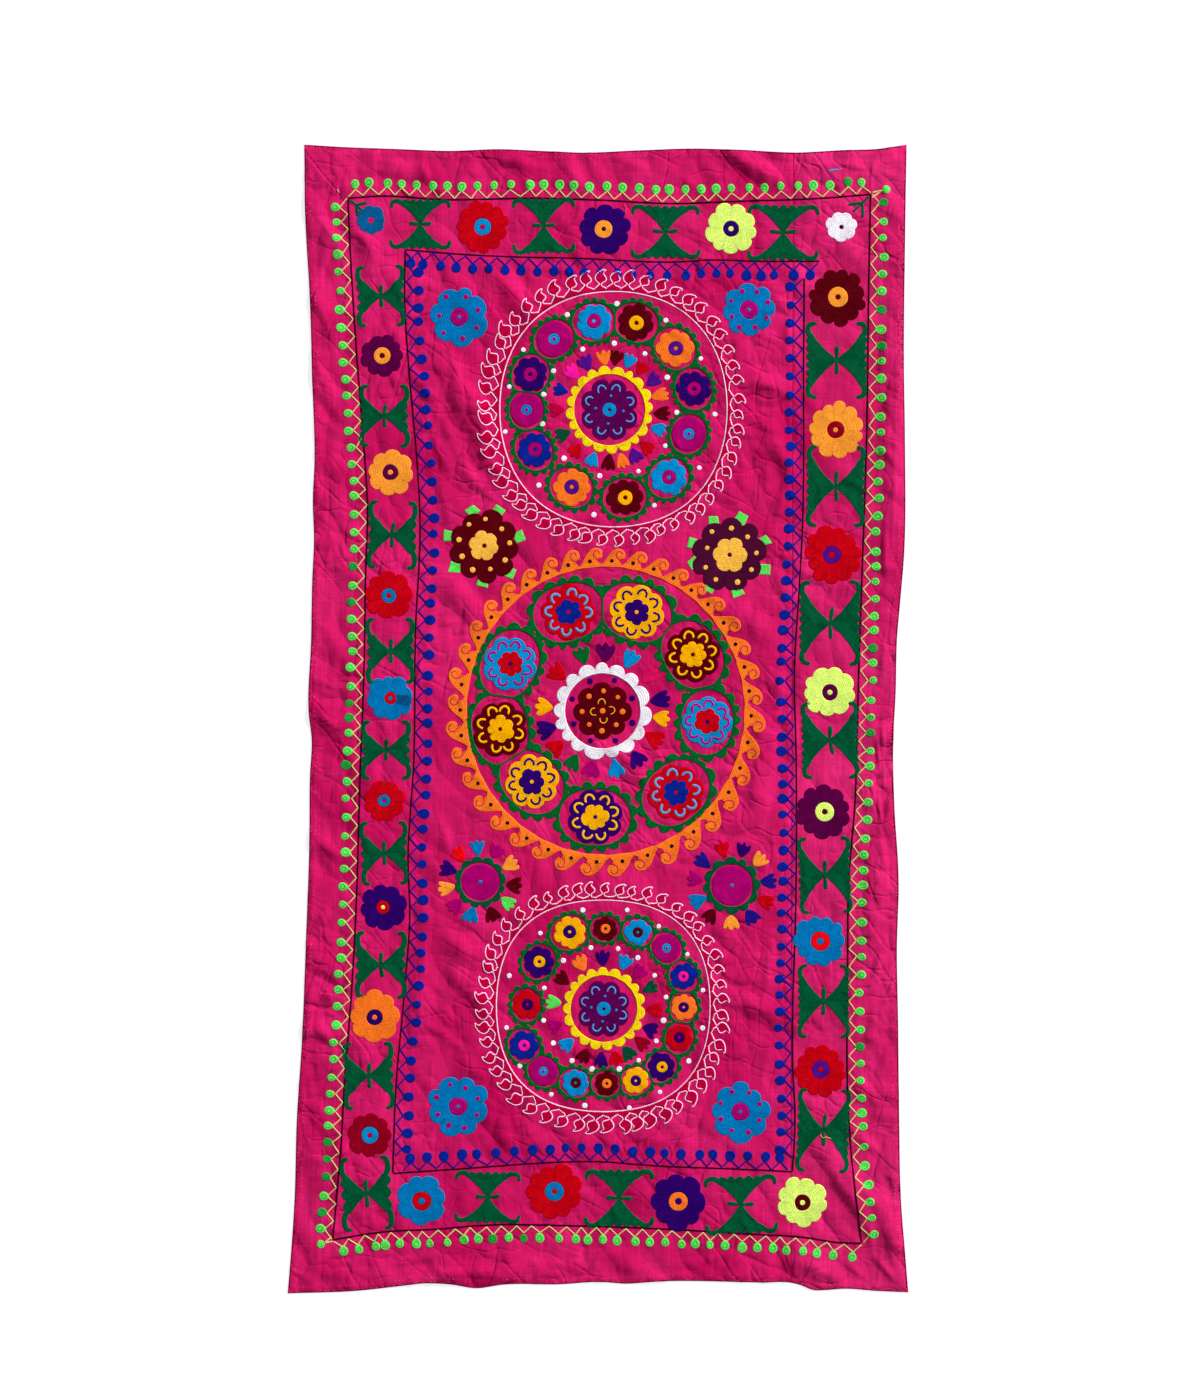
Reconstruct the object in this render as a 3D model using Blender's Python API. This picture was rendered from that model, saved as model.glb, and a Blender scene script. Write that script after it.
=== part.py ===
"""A suzani: an embroidered cotton hanging, laid flat with the soft folds that it keeps.

The ground is sewn from two widths of cotton, a wide one and a narrow one at its right. Its edges are
turned under in a narrow hem. Lengths are millimetres until they reach Blender, which takes metres.
The frame has its origin under the middle of the cloth, +X to the right, +Y to the top edge and +Z up.
"""

import math
from collections import namedtuple

import bpy

MM = 0.001

# Driving dimensions
LENGTH = 2010.0
BOTTOM_WIDTH = 1086.0
TOP_WIDTH = 1054.0
SEAM_TOP_X = 342.0
SEAM_BOTTOM_X = 337.0
THICKNESS = 1.4
HEM_WIDTH = 13.0
HEM_RISE = 0.7
SEAM_ALLOWANCE = 9.0
SEAM_RISE = 0.5
STEP_WIDTH = 4.0
GAP = 0.3
GRID_PITCH = 26.0

HALF_LENGTH = LENGTH / 2
LEFT_BOTTOM_X = -BOTTOM_WIDTH / 2
RIGHT_BOTTOM_X = BOTTOM_WIDTH / 2
LEFT_TOP_X = -514.0
RIGHT_TOP_X = LEFT_TOP_X + TOP_WIDTH

# Each side of the cloth wanders a little. A row is a place along the side and where the edge is there.
EdgePoint = namedtuple("EdgePoint", "along across")

LEFT_EDGE = [
    EdgePoint(-HALF_LENGTH, LEFT_BOTTOM_X),
    EdgePoint(-945, -538),
    EdgePoint(-770, -528),
    EdgePoint(-596, -521),
    EdgePoint(-400, -513),
    EdgePoint(-211, -504),
    EdgePoint(-36, -501),
    EdgePoint(8, -505),
    EdgePoint(139, -502),
    EdgePoint(345, -497),
    EdgePoint(498, -497),
    EdgePoint(638, -501),
    EdgePoint(806, -508),
    EdgePoint(918, -514),
    EdgePoint(HALF_LENGTH, LEFT_TOP_X),
]
RIGHT_EDGE = [
    EdgePoint(-HALF_LENGTH, RIGHT_BOTTOM_X),
    EdgePoint(-902, 535),
    EdgePoint(-749, 529),
    EdgePoint(-595, 525),
    EdgePoint(-298, 525),
    EdgePoint(-193, 522),
    EdgePoint(-106, 516),
    EdgePoint(34, 519),
    EdgePoint(209, 528),
    EdgePoint(436, 534),
    EdgePoint(682, 537),
    EdgePoint(909, 539),
    EdgePoint(HALF_LENGTH, RIGHT_TOP_X),
]
BOTTOM_EDGE = [
    EdgePoint(LEFT_BOTTOM_X, -HALF_LENGTH),
    EdgePoint(-434, -1000),
    EdgePoint(-346, -989),
    EdgePoint(-259, -987),
    EdgePoint(-194, -993),
    EdgePoint(-128, -988),
    EdgePoint(74, -985),
    EdgePoint(336, -985),
    EdgePoint(366, -992),
    EdgePoint(389, -998),
    EdgePoint(415, -995),
    EdgePoint(494, -1000),
    EdgePoint(RIGHT_BOTTOM_X, -HALF_LENGTH),
]
TOP_EDGE = [
    EdgePoint(LEFT_TOP_X, HALF_LENGTH),
    EdgePoint(-382, 998),
    EdgePoint(-250, 994),
    EdgePoint(-154, 997),
    EdgePoint(-66, 993),
    EdgePoint(74, 997),
    EdgePoint(178, 999),
    EdgePoint(SEAM_TOP_X, 993),
    EdgePoint(441, 997),
    EdgePoint(RIGHT_TOP_X, HALF_LENGTH),
]

# The main folds, each a soft ridge: its middle, the way it runs in degrees from +X, its length,
# its half width, its height, and how far its middle bows sideways.
Fold = namedtuple("Fold", "x y turn length half_width height bow")

FOLDS = [
    Fold(-406, 830, -63, 200, 34, 8, 6),
    Fold(-472, 851, -59, 180, 30, 7, -4),
    Fold(-482, 700, -68, 170, 30, 7, 4),
    Fold(-484, 589, -64, 150, 28, 6, 0),
    Fold(-462, 430, -72, 190, 30, 5, 5),
    Fold(-472, -10, -30, 150, 30, 7, 4),
    Fold(-473, -229, -30, 150, 28, 6, 4),
    Fold(-486, -549, -7, 130, 28, 6, 3),
    Fold(-448, -800, 58, 260, 32, 6, 0),
    Fold(-235, 536, -62, 360, 38, 11, 14),
    Fold(-217, 726, -48, 210, 32, 8, -6),
    Fold(-160, 752, -52, 220, 32, 7, 5),
    Fold(276, 961, -27, 190, 32, 9, 5),
    Fold(292, 1000, -5, 150, 24, 5, 0),
    Fold(-45, 956, -59, 130, 28, 5, 0),
    Fold(-330, 965, -12, 200, 28, 5, -4),
    Fold(300, 584, -16, 140, 30, 7, 0),
    Fold(316, 462, -68, 180, 30, 8, 6),
    Fold(516, 506, 88, 720, 30, 7, 4),
    Fold(500, -32, 4, 110, 26, 6, 0),
    Fold(492, -300, 86, 420, 30, 7, 5),
    Fold(56, -85, -46, 190, 32, 5, 5),
    Fold(-238, 205, -50, 220, 32, 6, 6),
    Fold(262, 180, -42, 200, 32, 6, -5),
    Fold(292, -90, 85, 380, 30, 6, 8),
    Fold(-238, -404, -30, 150, 30, 8, 0),
    Fold(-224, -478, -44, 160, 30, 6, 4),
    Fold(-300, -440, 84, 420, 32, 6, 8),
    Fold(-200, -976, 4, 420, 26, 7, 8),
    Fold(292, -510, -20, 180, 30, 7, 4),
    Fold(230, -728, -38, 220, 32, 6, 0),
    Fold(432, -824, -58, 300, 36, 11, 10),
    Fold(505, -890, -76, 260, 32, 9, 5),
    Fold(489, -654, -11, 130, 28, 6, 0),
    Fold(378, -960, -24, 150, 30, 8, 0),
    Fold(60, -958, -28, 160, 28, 5, 0),
]

COTTON_PINK = (0.70, 0.012, 0.10, 1.0)
COTTON_ROUGHNESS = 0.85


def clear_scene():
    """Empties the scene that the script starts in."""
    for obj in list(bpy.data.objects):
        bpy.data.objects.remove(obj)


def edge_at(points, along):
    """Where an edge is at a place along it, on smooth steps between its points."""
    for first, last in zip(points, points[1:]):
        if along <= last.along:
            share = max(0.0, (along - first.along) / (last.along - first.along))
            smooth = share * share * (3 - 2 * share)
            return first.across + (last.across - first.across) * smooth
    return points[-1].across


def seam_at(level):
    """Where the middle of the seam is at a height of the cloth."""
    share = (level + HALF_LENGTH) / LENGTH
    return SEAM_BOTTOM_X + (SEAM_TOP_X - SEAM_BOTTOM_X) * share


def soft(offset):
    """A hump: 1 in the middle, falling smoothly to 0 at an offset of 1."""
    return math.cos(offset * math.pi / 2) ** 2 if abs(offset) < 1 else 0.0


def fold_height(fold, x, y):
    """How high one fold lifts the cloth at a point."""
    turn = math.radians(fold.turn)
    along = (x - fold.x) * math.cos(turn) + (y - fold.y) * math.sin(turn)
    across = (y - fold.y) * math.cos(turn) - (x - fold.x) * math.sin(turn)
    along_share = along / (fold.length / 2)
    across -= fold.bow * (1 - along_share**2)
    return fold.height * soft(along_share) * soft(across / fold.half_width)


def lift(x, y):
    """How high the cloth's underside is off the surface: 0 wherever it lies flat."""
    return sum(fold_height(fold, x, y) for fold in FOLDS)


def stations(length, first_band, last_band, pitch):
    """Distances across a panel: the edges of its two raised bands, and even steps between them."""
    start = first_band + STEP_WIDTH
    end = length - last_band - STEP_WIDTH
    count = round((end - start) / pitch)
    between = [start + (end - start) * i / count for i in range(count + 1)]
    return [0.0, first_band, *between, length - last_band, length]


def rise_at(distance, band, rise):
    """The extra thickness of a turned or lapped band, at a distance from its edge."""
    if distance <= band:
        return rise
    return rise * max(0.0, 1 - (distance - band) / STEP_WIDTH)


def panel_grid(left_of, right_of, left_rise, right_rise):
    """Rows of (x, y, underside, top) points for one panel. Each rise is (band width, height)."""
    width = right_of(0.0) - left_of(0.0)
    columns = stations(width, left_rise[0], right_rise[0], GRID_PITCH)
    rows = stations(LENGTH, HEM_WIDTH, HEM_WIDTH, GRID_PITCH)
    grid = []
    for row in rows:
        level = row - HALF_LENGTH
        left, right = left_of(level), right_of(level)
        points = []
        for column in columns:
            x = left + (right - left) * column / width
            low, high = edge_at(BOTTOM_EDGE, x), edge_at(TOP_EDGE, x)
            y = low + (high - low) * row / LENGTH
            extra = max(
                rise_at(column, *left_rise),
                rise_at(width - column, *right_rise),
                rise_at(min(row, LENGTH - row), HEM_WIDTH, HEM_RISE),
            )
            under = lift(x, y)
            points.append((x, y, under, under + THICKNESS + extra))
        grid.append(points)
    return grid


def sheet_faces(grid):
    """Triangles of the top and the underside, which share each cell's diagonal, and of the rim."""
    row_count, column_count = len(grid), len(grid[0])
    layer = row_count * column_count

    def top(row, column):
        return row * column_count + column

    faces = []
    for row in range(row_count - 1):
        for column in range(column_count - 1):
            a, b = top(row, column), top(row, column + 1)
            c, d = top(row + 1, column + 1), top(row + 1, column)
            rising = abs(grid[row][column][2] - grid[row + 1][column + 1][2])
            falling = abs(grid[row][column + 1][2] - grid[row + 1][column][2])
            halves = [(a, b, c), (a, c, d)] if rising <= falling else [(a, b, d), (b, c, d)]
            faces += halves
            faces += [tuple(layer + corner for corner in reversed(half)) for half in halves]

    rim = [top(0, column) for column in range(column_count)]
    rim += [top(row, column_count - 1) for row in range(1, row_count)]
    rim += [top(row_count - 1, column) for column in range(column_count - 2, -1, -1)]
    rim += [top(row, 0) for row in range(row_count - 2, 0, -1)]
    for here, after in zip(rim, rim[1:] + rim[:1]):
        faces.append((here, layer + here, layer + after))
        faces.append((here, layer + after, after))
    return faces


def cotton():
    """Dyed cotton, matt."""
    material = bpy.data.materials.new("pink_cotton")
    material.use_nodes = True
    shader = material.node_tree.nodes["Principled BSDF"]
    shader.inputs["Base Color"].default_value = COTTON_PINK
    shader.inputs["Roughness"].default_value = COTTON_ROUGHNESS
    shader.inputs["Metallic"].default_value = 0.0
    return material


def make_panel(name, grid, material):
    """One width of cloth as a closed sheet of even thickness, thicker at its hems and its seam."""
    tops = [(x * MM, y * MM, top * MM) for row in grid for x, y, under, top in row]
    unders = [(x * MM, y * MM, under * MM) for row in grid for x, y, under, top in row]
    mesh = bpy.data.meshes.new(name)
    mesh.from_pydata(tops + unders, [], sheet_faces(grid))
    mesh.update()
    mesh.materials.append(material)
    panel = bpy.data.objects.new(name, mesh)
    bpy.context.scene.collection.objects.link(panel)
    return panel


def main():
    clear_scene()
    material = cotton()
    hem = (HEM_WIDTH, HEM_RISE)
    seam = (SEAM_ALLOWANCE, SEAM_RISE)
    main_grid = panel_grid(
        lambda y: edge_at(LEFT_EDGE, y), lambda y: seam_at(y) - GAP / 2, hem, seam
    )
    side_grid = panel_grid(
        lambda y: seam_at(y) + GAP / 2, lambda y: edge_at(RIGHT_EDGE, y), seam, hem
    )
    make_panel("main_panel", main_grid, material)
    make_panel("side_panel", side_grid, material)


main()
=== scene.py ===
"""The looks of a suzani: two widths of pink cotton, chain-stitched with flowers, medallions and
borders, lying flat with its folds. Lengths are millimetres until a mesh is made."""

import math
from collections import namedtuple

import bpy
import numpy as np
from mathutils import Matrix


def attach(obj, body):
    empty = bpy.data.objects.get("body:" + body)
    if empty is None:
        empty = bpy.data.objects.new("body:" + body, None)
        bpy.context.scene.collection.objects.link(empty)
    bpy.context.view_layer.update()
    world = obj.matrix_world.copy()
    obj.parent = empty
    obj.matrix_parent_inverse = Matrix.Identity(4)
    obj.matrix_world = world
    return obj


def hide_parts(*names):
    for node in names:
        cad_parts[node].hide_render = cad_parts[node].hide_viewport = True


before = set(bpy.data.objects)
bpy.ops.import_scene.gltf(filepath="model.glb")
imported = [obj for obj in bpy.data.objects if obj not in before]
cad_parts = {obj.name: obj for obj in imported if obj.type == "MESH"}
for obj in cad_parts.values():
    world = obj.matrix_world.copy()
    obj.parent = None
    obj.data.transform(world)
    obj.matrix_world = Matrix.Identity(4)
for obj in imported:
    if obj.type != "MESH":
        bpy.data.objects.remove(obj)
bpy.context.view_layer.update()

MM = 0.001
TURN = 2 * math.pi
UP = math.pi / 2

# The cloth
LENGTH = 2010.0
HALF_LENGTH = LENGTH / 2
SEAM_TOP_X = 342.0
SEAM_BOTTOM_X = 337.0
SEAM_GAP = 0.3
FABRIC = 0.9
HEM_WIDTH = 12.0
HEM_RISE = 0.7
SEAM_ALLOWANCE = 8.0
SEAM_RISE = 0.5
STEP_WIDTH = 3.0
CELL = 5.2
CRISP_MARGIN = 46.8
EDGE_WIDTH = 1.2
EDGE_DROP = 0.45
EDGE_LIFT = 0.25
WEAVE = 0.9
SMALL_CREASES = 1000
# How far dense stitching evens out the cloth, in radii of its flower, over how much of that it
# fades, and how much it evens out
STIFF_REACH = 1.3
STIFF_FADE = 0.3
STIFFNESS = 0.7
# The folds are pressed down softly above the first height, to no more than the second above it
PRESSED_FROM = 8.0
PRESSED_RANGE = 2.6

# The stitches: the pitch of their rows and along a row, how high they stand, and the steps in
# which lines and outlines are drawn
ROW = 2.9
STITCH = 3.2
SKIRT = -0.4
EDGE_RISE = 0.45
FILL_RISE = 0.95
ROW_RELIEF = 0.14
KNOB_RELIEF = 0.06
LINE_RISE = 0.8
LINE_STEP = STITCH / 2
BORDER_STEP = 2.0
OUTLINE_STEP = 2.4
FINE_STEP = 1.8
SMALL_STEP = 2.6
TOOTH_STEP = 2.8
FINE_ROW = 1.6

# Thread colours, as 0 to 255 in red, green and blue
THREADS = {
    "black": (26, 4, 22), "pale_green": (206, 200, 116), "bright_green": (94, 228, 90),
    "navy": (30, 20, 138), "royal": (8, 35, 152), "leaf_green": (0, 90, 54),
    "frame_green": (0, 104, 42), "dark_green": (4, 80, 54), "red": (208, 0, 20),
    "scarlet": (250, 6, 18), "crimson": (198, 0, 66), "wine": (150, 0, 30), "sky": (0, 146, 218),
    "blue": (0, 124, 194), "indigo": (46, 0, 108), "violet": (84, 14, 142), "purple": (94, 0, 84),
    "plum": (92, 0, 68), "aubergine": (78, 10, 50), "maroon": (92, 0, 14), "magenta": (180, 0, 112),
    "hot_pink": (255, 22, 160), "light_orange": (255, 156, 50), "orange": (255, 120, 34),
    "yellow": (255, 178, 0), "lemon": (255, 222, 16), "lime": (226, 255, 118), "white": (246, 240, 250),
    "light_blue": (70, 156, 220), "pale_pink": (232, 92, 140), "mid_green": (36, 160, 60),
    "amber": (255, 190, 72), "edge": (112, 0, 46), "shade_pink": (168, 6, 70),
    "dark_blue": (8, 84, 136), "dull_blue": (6, 92, 150), "rose": (232, 16, 96),
    "wave_pink": (206, 24, 84), "blush": (255, 216, 242),
}


def rows_of(kind, *rows):
    """A table whose rows have named fields."""
    return [kind(*row) for row in rows]


# The cloth's edges, as places along each edge and how far across it lies there
LEFT_EDGE = [
    (-1005, -543), (-982, -541), (-842, -531), (-702, -527), (-562, -518), (-387, -511), (-212, -505),
    (-100, -504), (-37, -501), (10, -506), (138, -502), (243, -500), (313, -497), (383, -499),
    (453, -496), (593, -500), (733, -504), (873, -512), (1005, -514),
]
RIGHT_EDGE = [
    (-1005, 543), (-947, 538), (-842, 530), (-702, 527), (-527, 525), (-404, 523), (-282, 526),
    (-142, 518), (-54, 516), (51, 521), (138, 523), (208, 529), (278, 535), (488, 537), (628, 535),
    (821, 537), (952, 539), (1005, 540),
]
BOTTOM_EDGE = [
    (-543, -1005), (-416, -1000), (-346, -992), (-303, -987), (-259, -989), (-212, -996), (-170, -990),
    (-66, -989), (3, -985), (52, -988), (90, -985), (283, -986), (341, -987), (356, -991), (376, -999),
    (400, -999), (423, -997), (494, -1001), (543, -1003),
]
TOP_EDGE = [
    (-514, 1005), (-451, 1001), (-346, 997), (-260, 994), (-171, 997), (-101, 994), (-31, 991),
    (73, 995), (178, 998), (248, 995), (342, 991), (423, 995), (494, 998), (540, 1005),
]

# A soft ridge: its middle, the way it runs in degrees from +X, its length, its half width, its
# height, and how far its middle bows sideways. The first table is the solids' own.
Fold = namedtuple("Fold", "x y turn length half_width height bow")

FOLDS = rows_of(
    Fold,
    (-406, 830, -63, 200, 34, 8, 6), (-472, 851, -59, 180, 30, 7, -4), (-482, 700, -68, 170, 30, 7, 4),
    (-484, 589, -64, 150, 28, 6, 0), (-462, 430, -72, 190, 30, 5, 5), (-472, -10, -30, 150, 30, 7, 4),
    (-473, -229, -30, 150, 28, 6, 4), (-486, -549, -7, 130, 28, 6, 3), (-448, -800, 58, 260, 32, 6, 0),
    (-235, 536, -62, 360, 38, 11, 14), (-217, 726, -48, 210, 32, 8, -6),
    (-160, 752, -52, 220, 32, 7, 5), (276, 961, -27, 190, 32, 9, 5), (292, 1000, -5, 150, 24, 5, 0),
    (-45, 956, -59, 130, 28, 5, 0), (-330, 965, -12, 200, 28, 5, -4), (300, 584, -16, 140, 30, 7, 0),
    (316, 462, -68, 180, 30, 8, 6), (516, 506, 88, 720, 30, 7, 4), (500, -32, 4, 110, 26, 6, 0),
    (492, -300, 86, 420, 30, 7, 5), (56, -85, -46, 190, 32, 5, 5), (-238, 205, -50, 220, 32, 6, 6),
    (262, 180, -42, 200, 32, 6, -5), (292, -90, 85, 380, 30, 6, 8), (-238, -404, -30, 150, 30, 8, 0),
    (-224, -478, -44, 160, 30, 6, 4), (-300, -440, 84, 420, 32, 6, 8), (-200, -976, 4, 420, 26, 7, 8),
    (292, -510, -20, 180, 30, 7, 4), (230, -728, -38, 220, 32, 6, 0), (432, -824, -58, 300, 36, 11, 10),
    (505, -890, -76, 260, 32, 9, 5), (489, -654, -11, 130, 28, 6, 0), (378, -960, -24, 150, 30, 8, 0),
    (60, -958, -28, 160, 28, 5, 0),
)
CREASES = rows_of(
    Fold,
    (-440, 965, -58, 70, 9, 3.0, 0), (-455, 925, 18, 90, 8, 1.8, 2), (-432, 900, 60, 60, 9, 1.8, 0),
    (-380, 955, -8, 120, 11, 2.4, 3), (-160, 975, -10, 140, 9, 2.1, 2), (60, 972, -20, 120, 10, 2.1, 0),
    (150, 940, -35, 90, 11, 2.4, 3), (430, 965, -6, 150, 12, 2.7, 4), (500, 930, -58, 110, 13, 3.6, 0),
    (455, 880, -24, 120, 11, 2.4, 0), (500, 640, 80, 160, 10, 2.7, 0), (505, 300, 92, 200, 10, 2.7, 3),
    (500, 100, 84, 150, 10, 2.4, 0), (495, -60, 6, 70, 8, 2.4, 0), (490, -14, -6, 80, 8, 2.4, 0),
    (485, -440, 70, 160, 11, 2.7, 0), (480, -560, -15, 90, 9, 2.1, 0),
    (470, -740, -40, 140, 12, 3.0, 0), (480, -850, -55, 160, 12, 3.3, 4),
    (515, -800, -80, 160, 10, 3.0, 0), (450, -965, -38, 120, 10, 3.0, 0),
    (500, -960, -50, 90, 9, 3.0, 0), (330, -955, 80, 90, 9, 1.8, 0), (180, -950, 8, 160, 10, 1.8, 2),
    (-60, -955, -6, 180, 10, 2.1, 3), (-330, -950, 10, 160, 10, 2.4, 3),
    (-470, -940, 30, 130, 11, 2.4, 0), (-500, -870, 72, 140, 10, 2.1, 0),
    (-495, -700, 60, 120, 10, 2.1, 0), (-480, -480, -22, 90, 9, 2.1, 0),
    (-478, -350, 40, 110, 10, 2.4, 0), (-478, -150, -50, 110, 9, 2.1, 0),
    (-470, 60, -22, 110, 9, 2.4, 0), (-472, 180, 62, 130, 10, 2.1, 0),
    (-470, 330, -58, 120, 10, 2.4, 0), (-466, 510, -40, 110, 9, 2.1, 0),
    (-260, 620, -60, 180, 12, 3.6, 5), (-285, 480, -66, 160, 11, 3.0, 3),
    (-190, 450, -50, 140, 11, 2.7, 0), (-270, 380, -70, 130, 10, 2.4, 0),
    (-290, 160, 82, 170, 10, 2.4, 4), (-262, 60, 74, 150, 10, 2.4, 0),
    (-280, -60, -80, 170, 10, 2.4, 3), (-270, -200, -72, 130, 10, 2.4, 0),
    (-265, -560, -35, 130, 11, 3.0, 3), (-290, -610, 78, 120, 10, 2.1, 0),
    (-150, -735, 14, 150, 10, 1.8, 3), (100, -738, -6, 160, 10, 1.8, 2),
    (290, -620, 80, 150, 10, 2.4, 0), (300, -420, 84, 160, 10, 2.7, 0),
    (310, -240, -78, 150, 10, 2.4, 0), (318, 60, 84, 160, 10, 2.4, 0), (312, 250, -70, 150, 11, 2.7, 3),
    (322, 390, 78, 120, 10, 2.7, 0), (280, 520, -28, 110, 10, 2.7, 0), (330, 660, 84, 130, 10, 2.4, 0),
    (180, 770, 8, 130, 9, 1.8, 0), (-60, 785, -8, 150, 9, 1.8, 0), (110, -60, -30, 110, 10, 2.1, 0),
    (20, -130, 82, 110, 9, 1.8, 0), (-80, 120, 85, 130, 9, 1.8, 0), (120, 110, -82, 120, 9, 1.8, 0),
    (-255, 470, -62, 220, 13, 4.0, 10), (-300, 585, -50, 150, 13, 3.5, -6),
    (-205, 400, -48, 150, 12, 3.5, 5), (-462, 986, -46, 50, 6, 3.6, 0), (-490, 955, -62, 60, 8, 2.4, 0),
    (-430, 985, -4, 60, 8, 2.2, 0), (513, 975, 40, 60, 14, 3.0, 0), (505, 953, -15, 70, 8, 2.4, 0),
    (-406, 830, -62, 110, 10, 2.6, 3), (-470, 850, -58, 110, 9, 2.4, 0),
    (-482, 700, -68, 100, 9, 2.4, 3), (-478, 590, -64, 80, 9, 2.2, 0), (-470, -10, -30, 80, 9, 2.4, 0),
    (-470, -228, -30, 80, 9, 2.4, 0), (-482, -548, -7, 80, 8, 2.2, 0),
    (-198, 726, -48, 110, 10, 2.6, 0), (-154, 752, -50, 110, 10, 2.4, 0),
    (276, 962, -27, 120, 10, 2.6, 3), (-45, 952, -60, 60, 9, 2.0, 0), (300, 580, -16, 70, 9, 2.2, 0),
    (318, 462, -68, 90, 10, 2.4, 0), (524, 500, 88, 600, 9, 2.4, 3), (512, -65, 78, 90, 9, 2.0, 0),
    (55, -85, -46, 120, 10, 2.2, 4), (-240, -405, -30, 80, 10, 2.4, 0),
    (-225, -478, -44, 80, 9, 2.2, 0), (-225, -972, -3, 160, 9, 2.2, 3), (-95, -975, 8, 180, 9, 2.2, 3),
    (430, -825, -55, 150, 12, 3.2, 4), (505, -905, -76, 160, 10, 3.0, 3),
    (484, -654, -10, 70, 8, 2.0, 0), (525, -925, -62, 50, 8, 2.4, 0), (476, 6, 3, 110, 8, 2.6, 0),
    (499, -38, 90, 95, 5, 4.2, 1), (511, -34, 87, 90, 5, 3.8, -1), (488, -60, 98, 110, 5, 3.4, -2),
    (500, -98, 91, 90, 4.5, 3.4, 0), (492, -160, 96, 95, 5, 3.8, 0), (506, -158, 84, 95, 5, 3.8, 0),
    (518, -110, 90, 240, 5, 3.2, 2), (481, -130, 93, 130, 6, 2.2, 0), (497, -230, 96, 120, 8, 2.2, 0),
    (-500, 470, 82, 150, 8, 2.4, 4), (-512, 300, 100, 120, 9, 2.2, 0), (-495, -470, 80, 130, 9, 2.4, 3),
    (-505, -640, 95, 110, 8, 2.2, 0),
)

# The two drawn lines of the border, side by side as the cloth's edges are
OUTER_TOP = [
    (-437, 911), (-381, 915), (-276, 909), (-101, 911), (3, 908), (126, 902), (248, 906), (388, 911),
    (477, 918),
]
OUTER_RIGHT = [
    (-917, 461), (-824, 449), (-702, 439), (-422, 437), (-282, 439), (-142, 450), (-2, 454), (138, 458),
    (278, 463), (488, 470), (768, 474), (918, 477),
]
OUTER_BOTTOM = [
    (-464, -911), (-381, -898), (-276, -892), (-206, -886), (-31, -887), (108, -892), (283, -902),
    (354, -906), (423, -916), (461, -917),
]
OUTER_LEFT = [
    (-911, -464), (-772, -451), (-632, -443), (-492, -432), (-352, -424), (-98, -416), (94, -409),
    (269, -406), (357, -403), (497, -411), (637, -422), (838, -434), (911, -437),
]
INNER_TOP = [
    (-337, 821), (-276, 816), (-206, 811), (-31, 806), (143, 800), (196, 803), (283, 801), (388, 801),
]
INNER_RIGHT = [
    (-792, 340), (-702, 345), (-614, 341), (-492, 341), (-378, 345), (-72, 347), (94, 344), (208, 351),
    (313, 357), (628, 360), (772, 361),
]
INNER_BOTTOM = [
    (-359, -795), (-241, -787), (-84, -776), (-14, -774), (108, -782), (283, -789), (340, -792),
]
INNER_LEFT = [
    (-795, -359), (-640, -353), (-483, -339), (-334, -329), (-255, -332), (-72, -322), (156, -319),
    (339, -311), (444, -316), (593, -329), (733, -338), (821, -337),
]

# A flower of the border: its middle and radius, petals, and the threads of its rings
BorderFlower = namedtuple("BorderFlower", "x y radius petals base ring_radius ring dot_radius dot")

BORDER_FLOWERS = rows_of(
    BorderFlower,
    (-397, 873, 26, 8, "dull_blue", 5.5, "rose", 2, "rose"),
    (-201, 861, 46, 11, "red", 15, "sky", 5, "crimson"),
    (12, 857, 45, 9, "indigo", 16, "light_orange", 4, "maroon"),
    (233, 857, 45, 9, "lime", 14, "indigo", 5, "lime"),
    (426, 861, 27, 7, "white", 4, "maroon", 2, "maroon"),
    (-378, 635, 37, 9, "plum", 15, "light_orange", 5, "maroon"),
    (-363, 430, 40, 8, "light_orange", 14, "plum", 5, "light_orange"),
    (-366, 217, 43, 8, "red", 13, "blue", 5, "red"), (-364, 37, 40, 8, "blue", 11, "red", 4, "blue"),
    (-374, -143, 37, 8, "red", 11, "blue", 4, "red"),
    (-375, -329, 41, 8, "indigo", 12, "red", 4, "lime"),
    (-392, -521, 45, 8, "orange", 14, "indigo", 5, "orange"),
    (-399, -728, 39, 8, "wine", 15, "sky", 5, "crimson"),
    (-308, -842, 45, 7, "blue", 17, "red", 6, "blue"), (-77, -827, 49, 9, "red", 17, "blue", 5, "red"),
    (140, -845, 49, 8, "indigo", 17, "orange", 6, "indigo"),
    (357, -845, 44, 9, "lime", 14, "maroon", 5, "lime"),
    (419, 737, 50, 11, "maroon", 18, "light_orange", 5, "maroon"),
    (416, 506, 49, 11, "light_orange", 15, "wine", 5, "light_orange"),
    (410, 287, 51, 11, "red", 16, "violet", 6, "red"), (404, 47, 45, 9, "lime", 14, "plum", 5, "lime"),
    (395, -163, 48, 10, "plum", 17, "lime", 5, "maroon"),
    (388, -388, 45, 10, "blue", 17, "scarlet", 6, "blue"),
    (390, -616, 46, 11, "red", 16, "violet", 5, "red"),
)

# A green motif of two fans, point to point: its middle, the turn of its long axis in degrees,
# half its length along that axis, and half its span from curl to curl
Fans = namedtuple("Fans", "x y turn half_length half_span")

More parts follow.
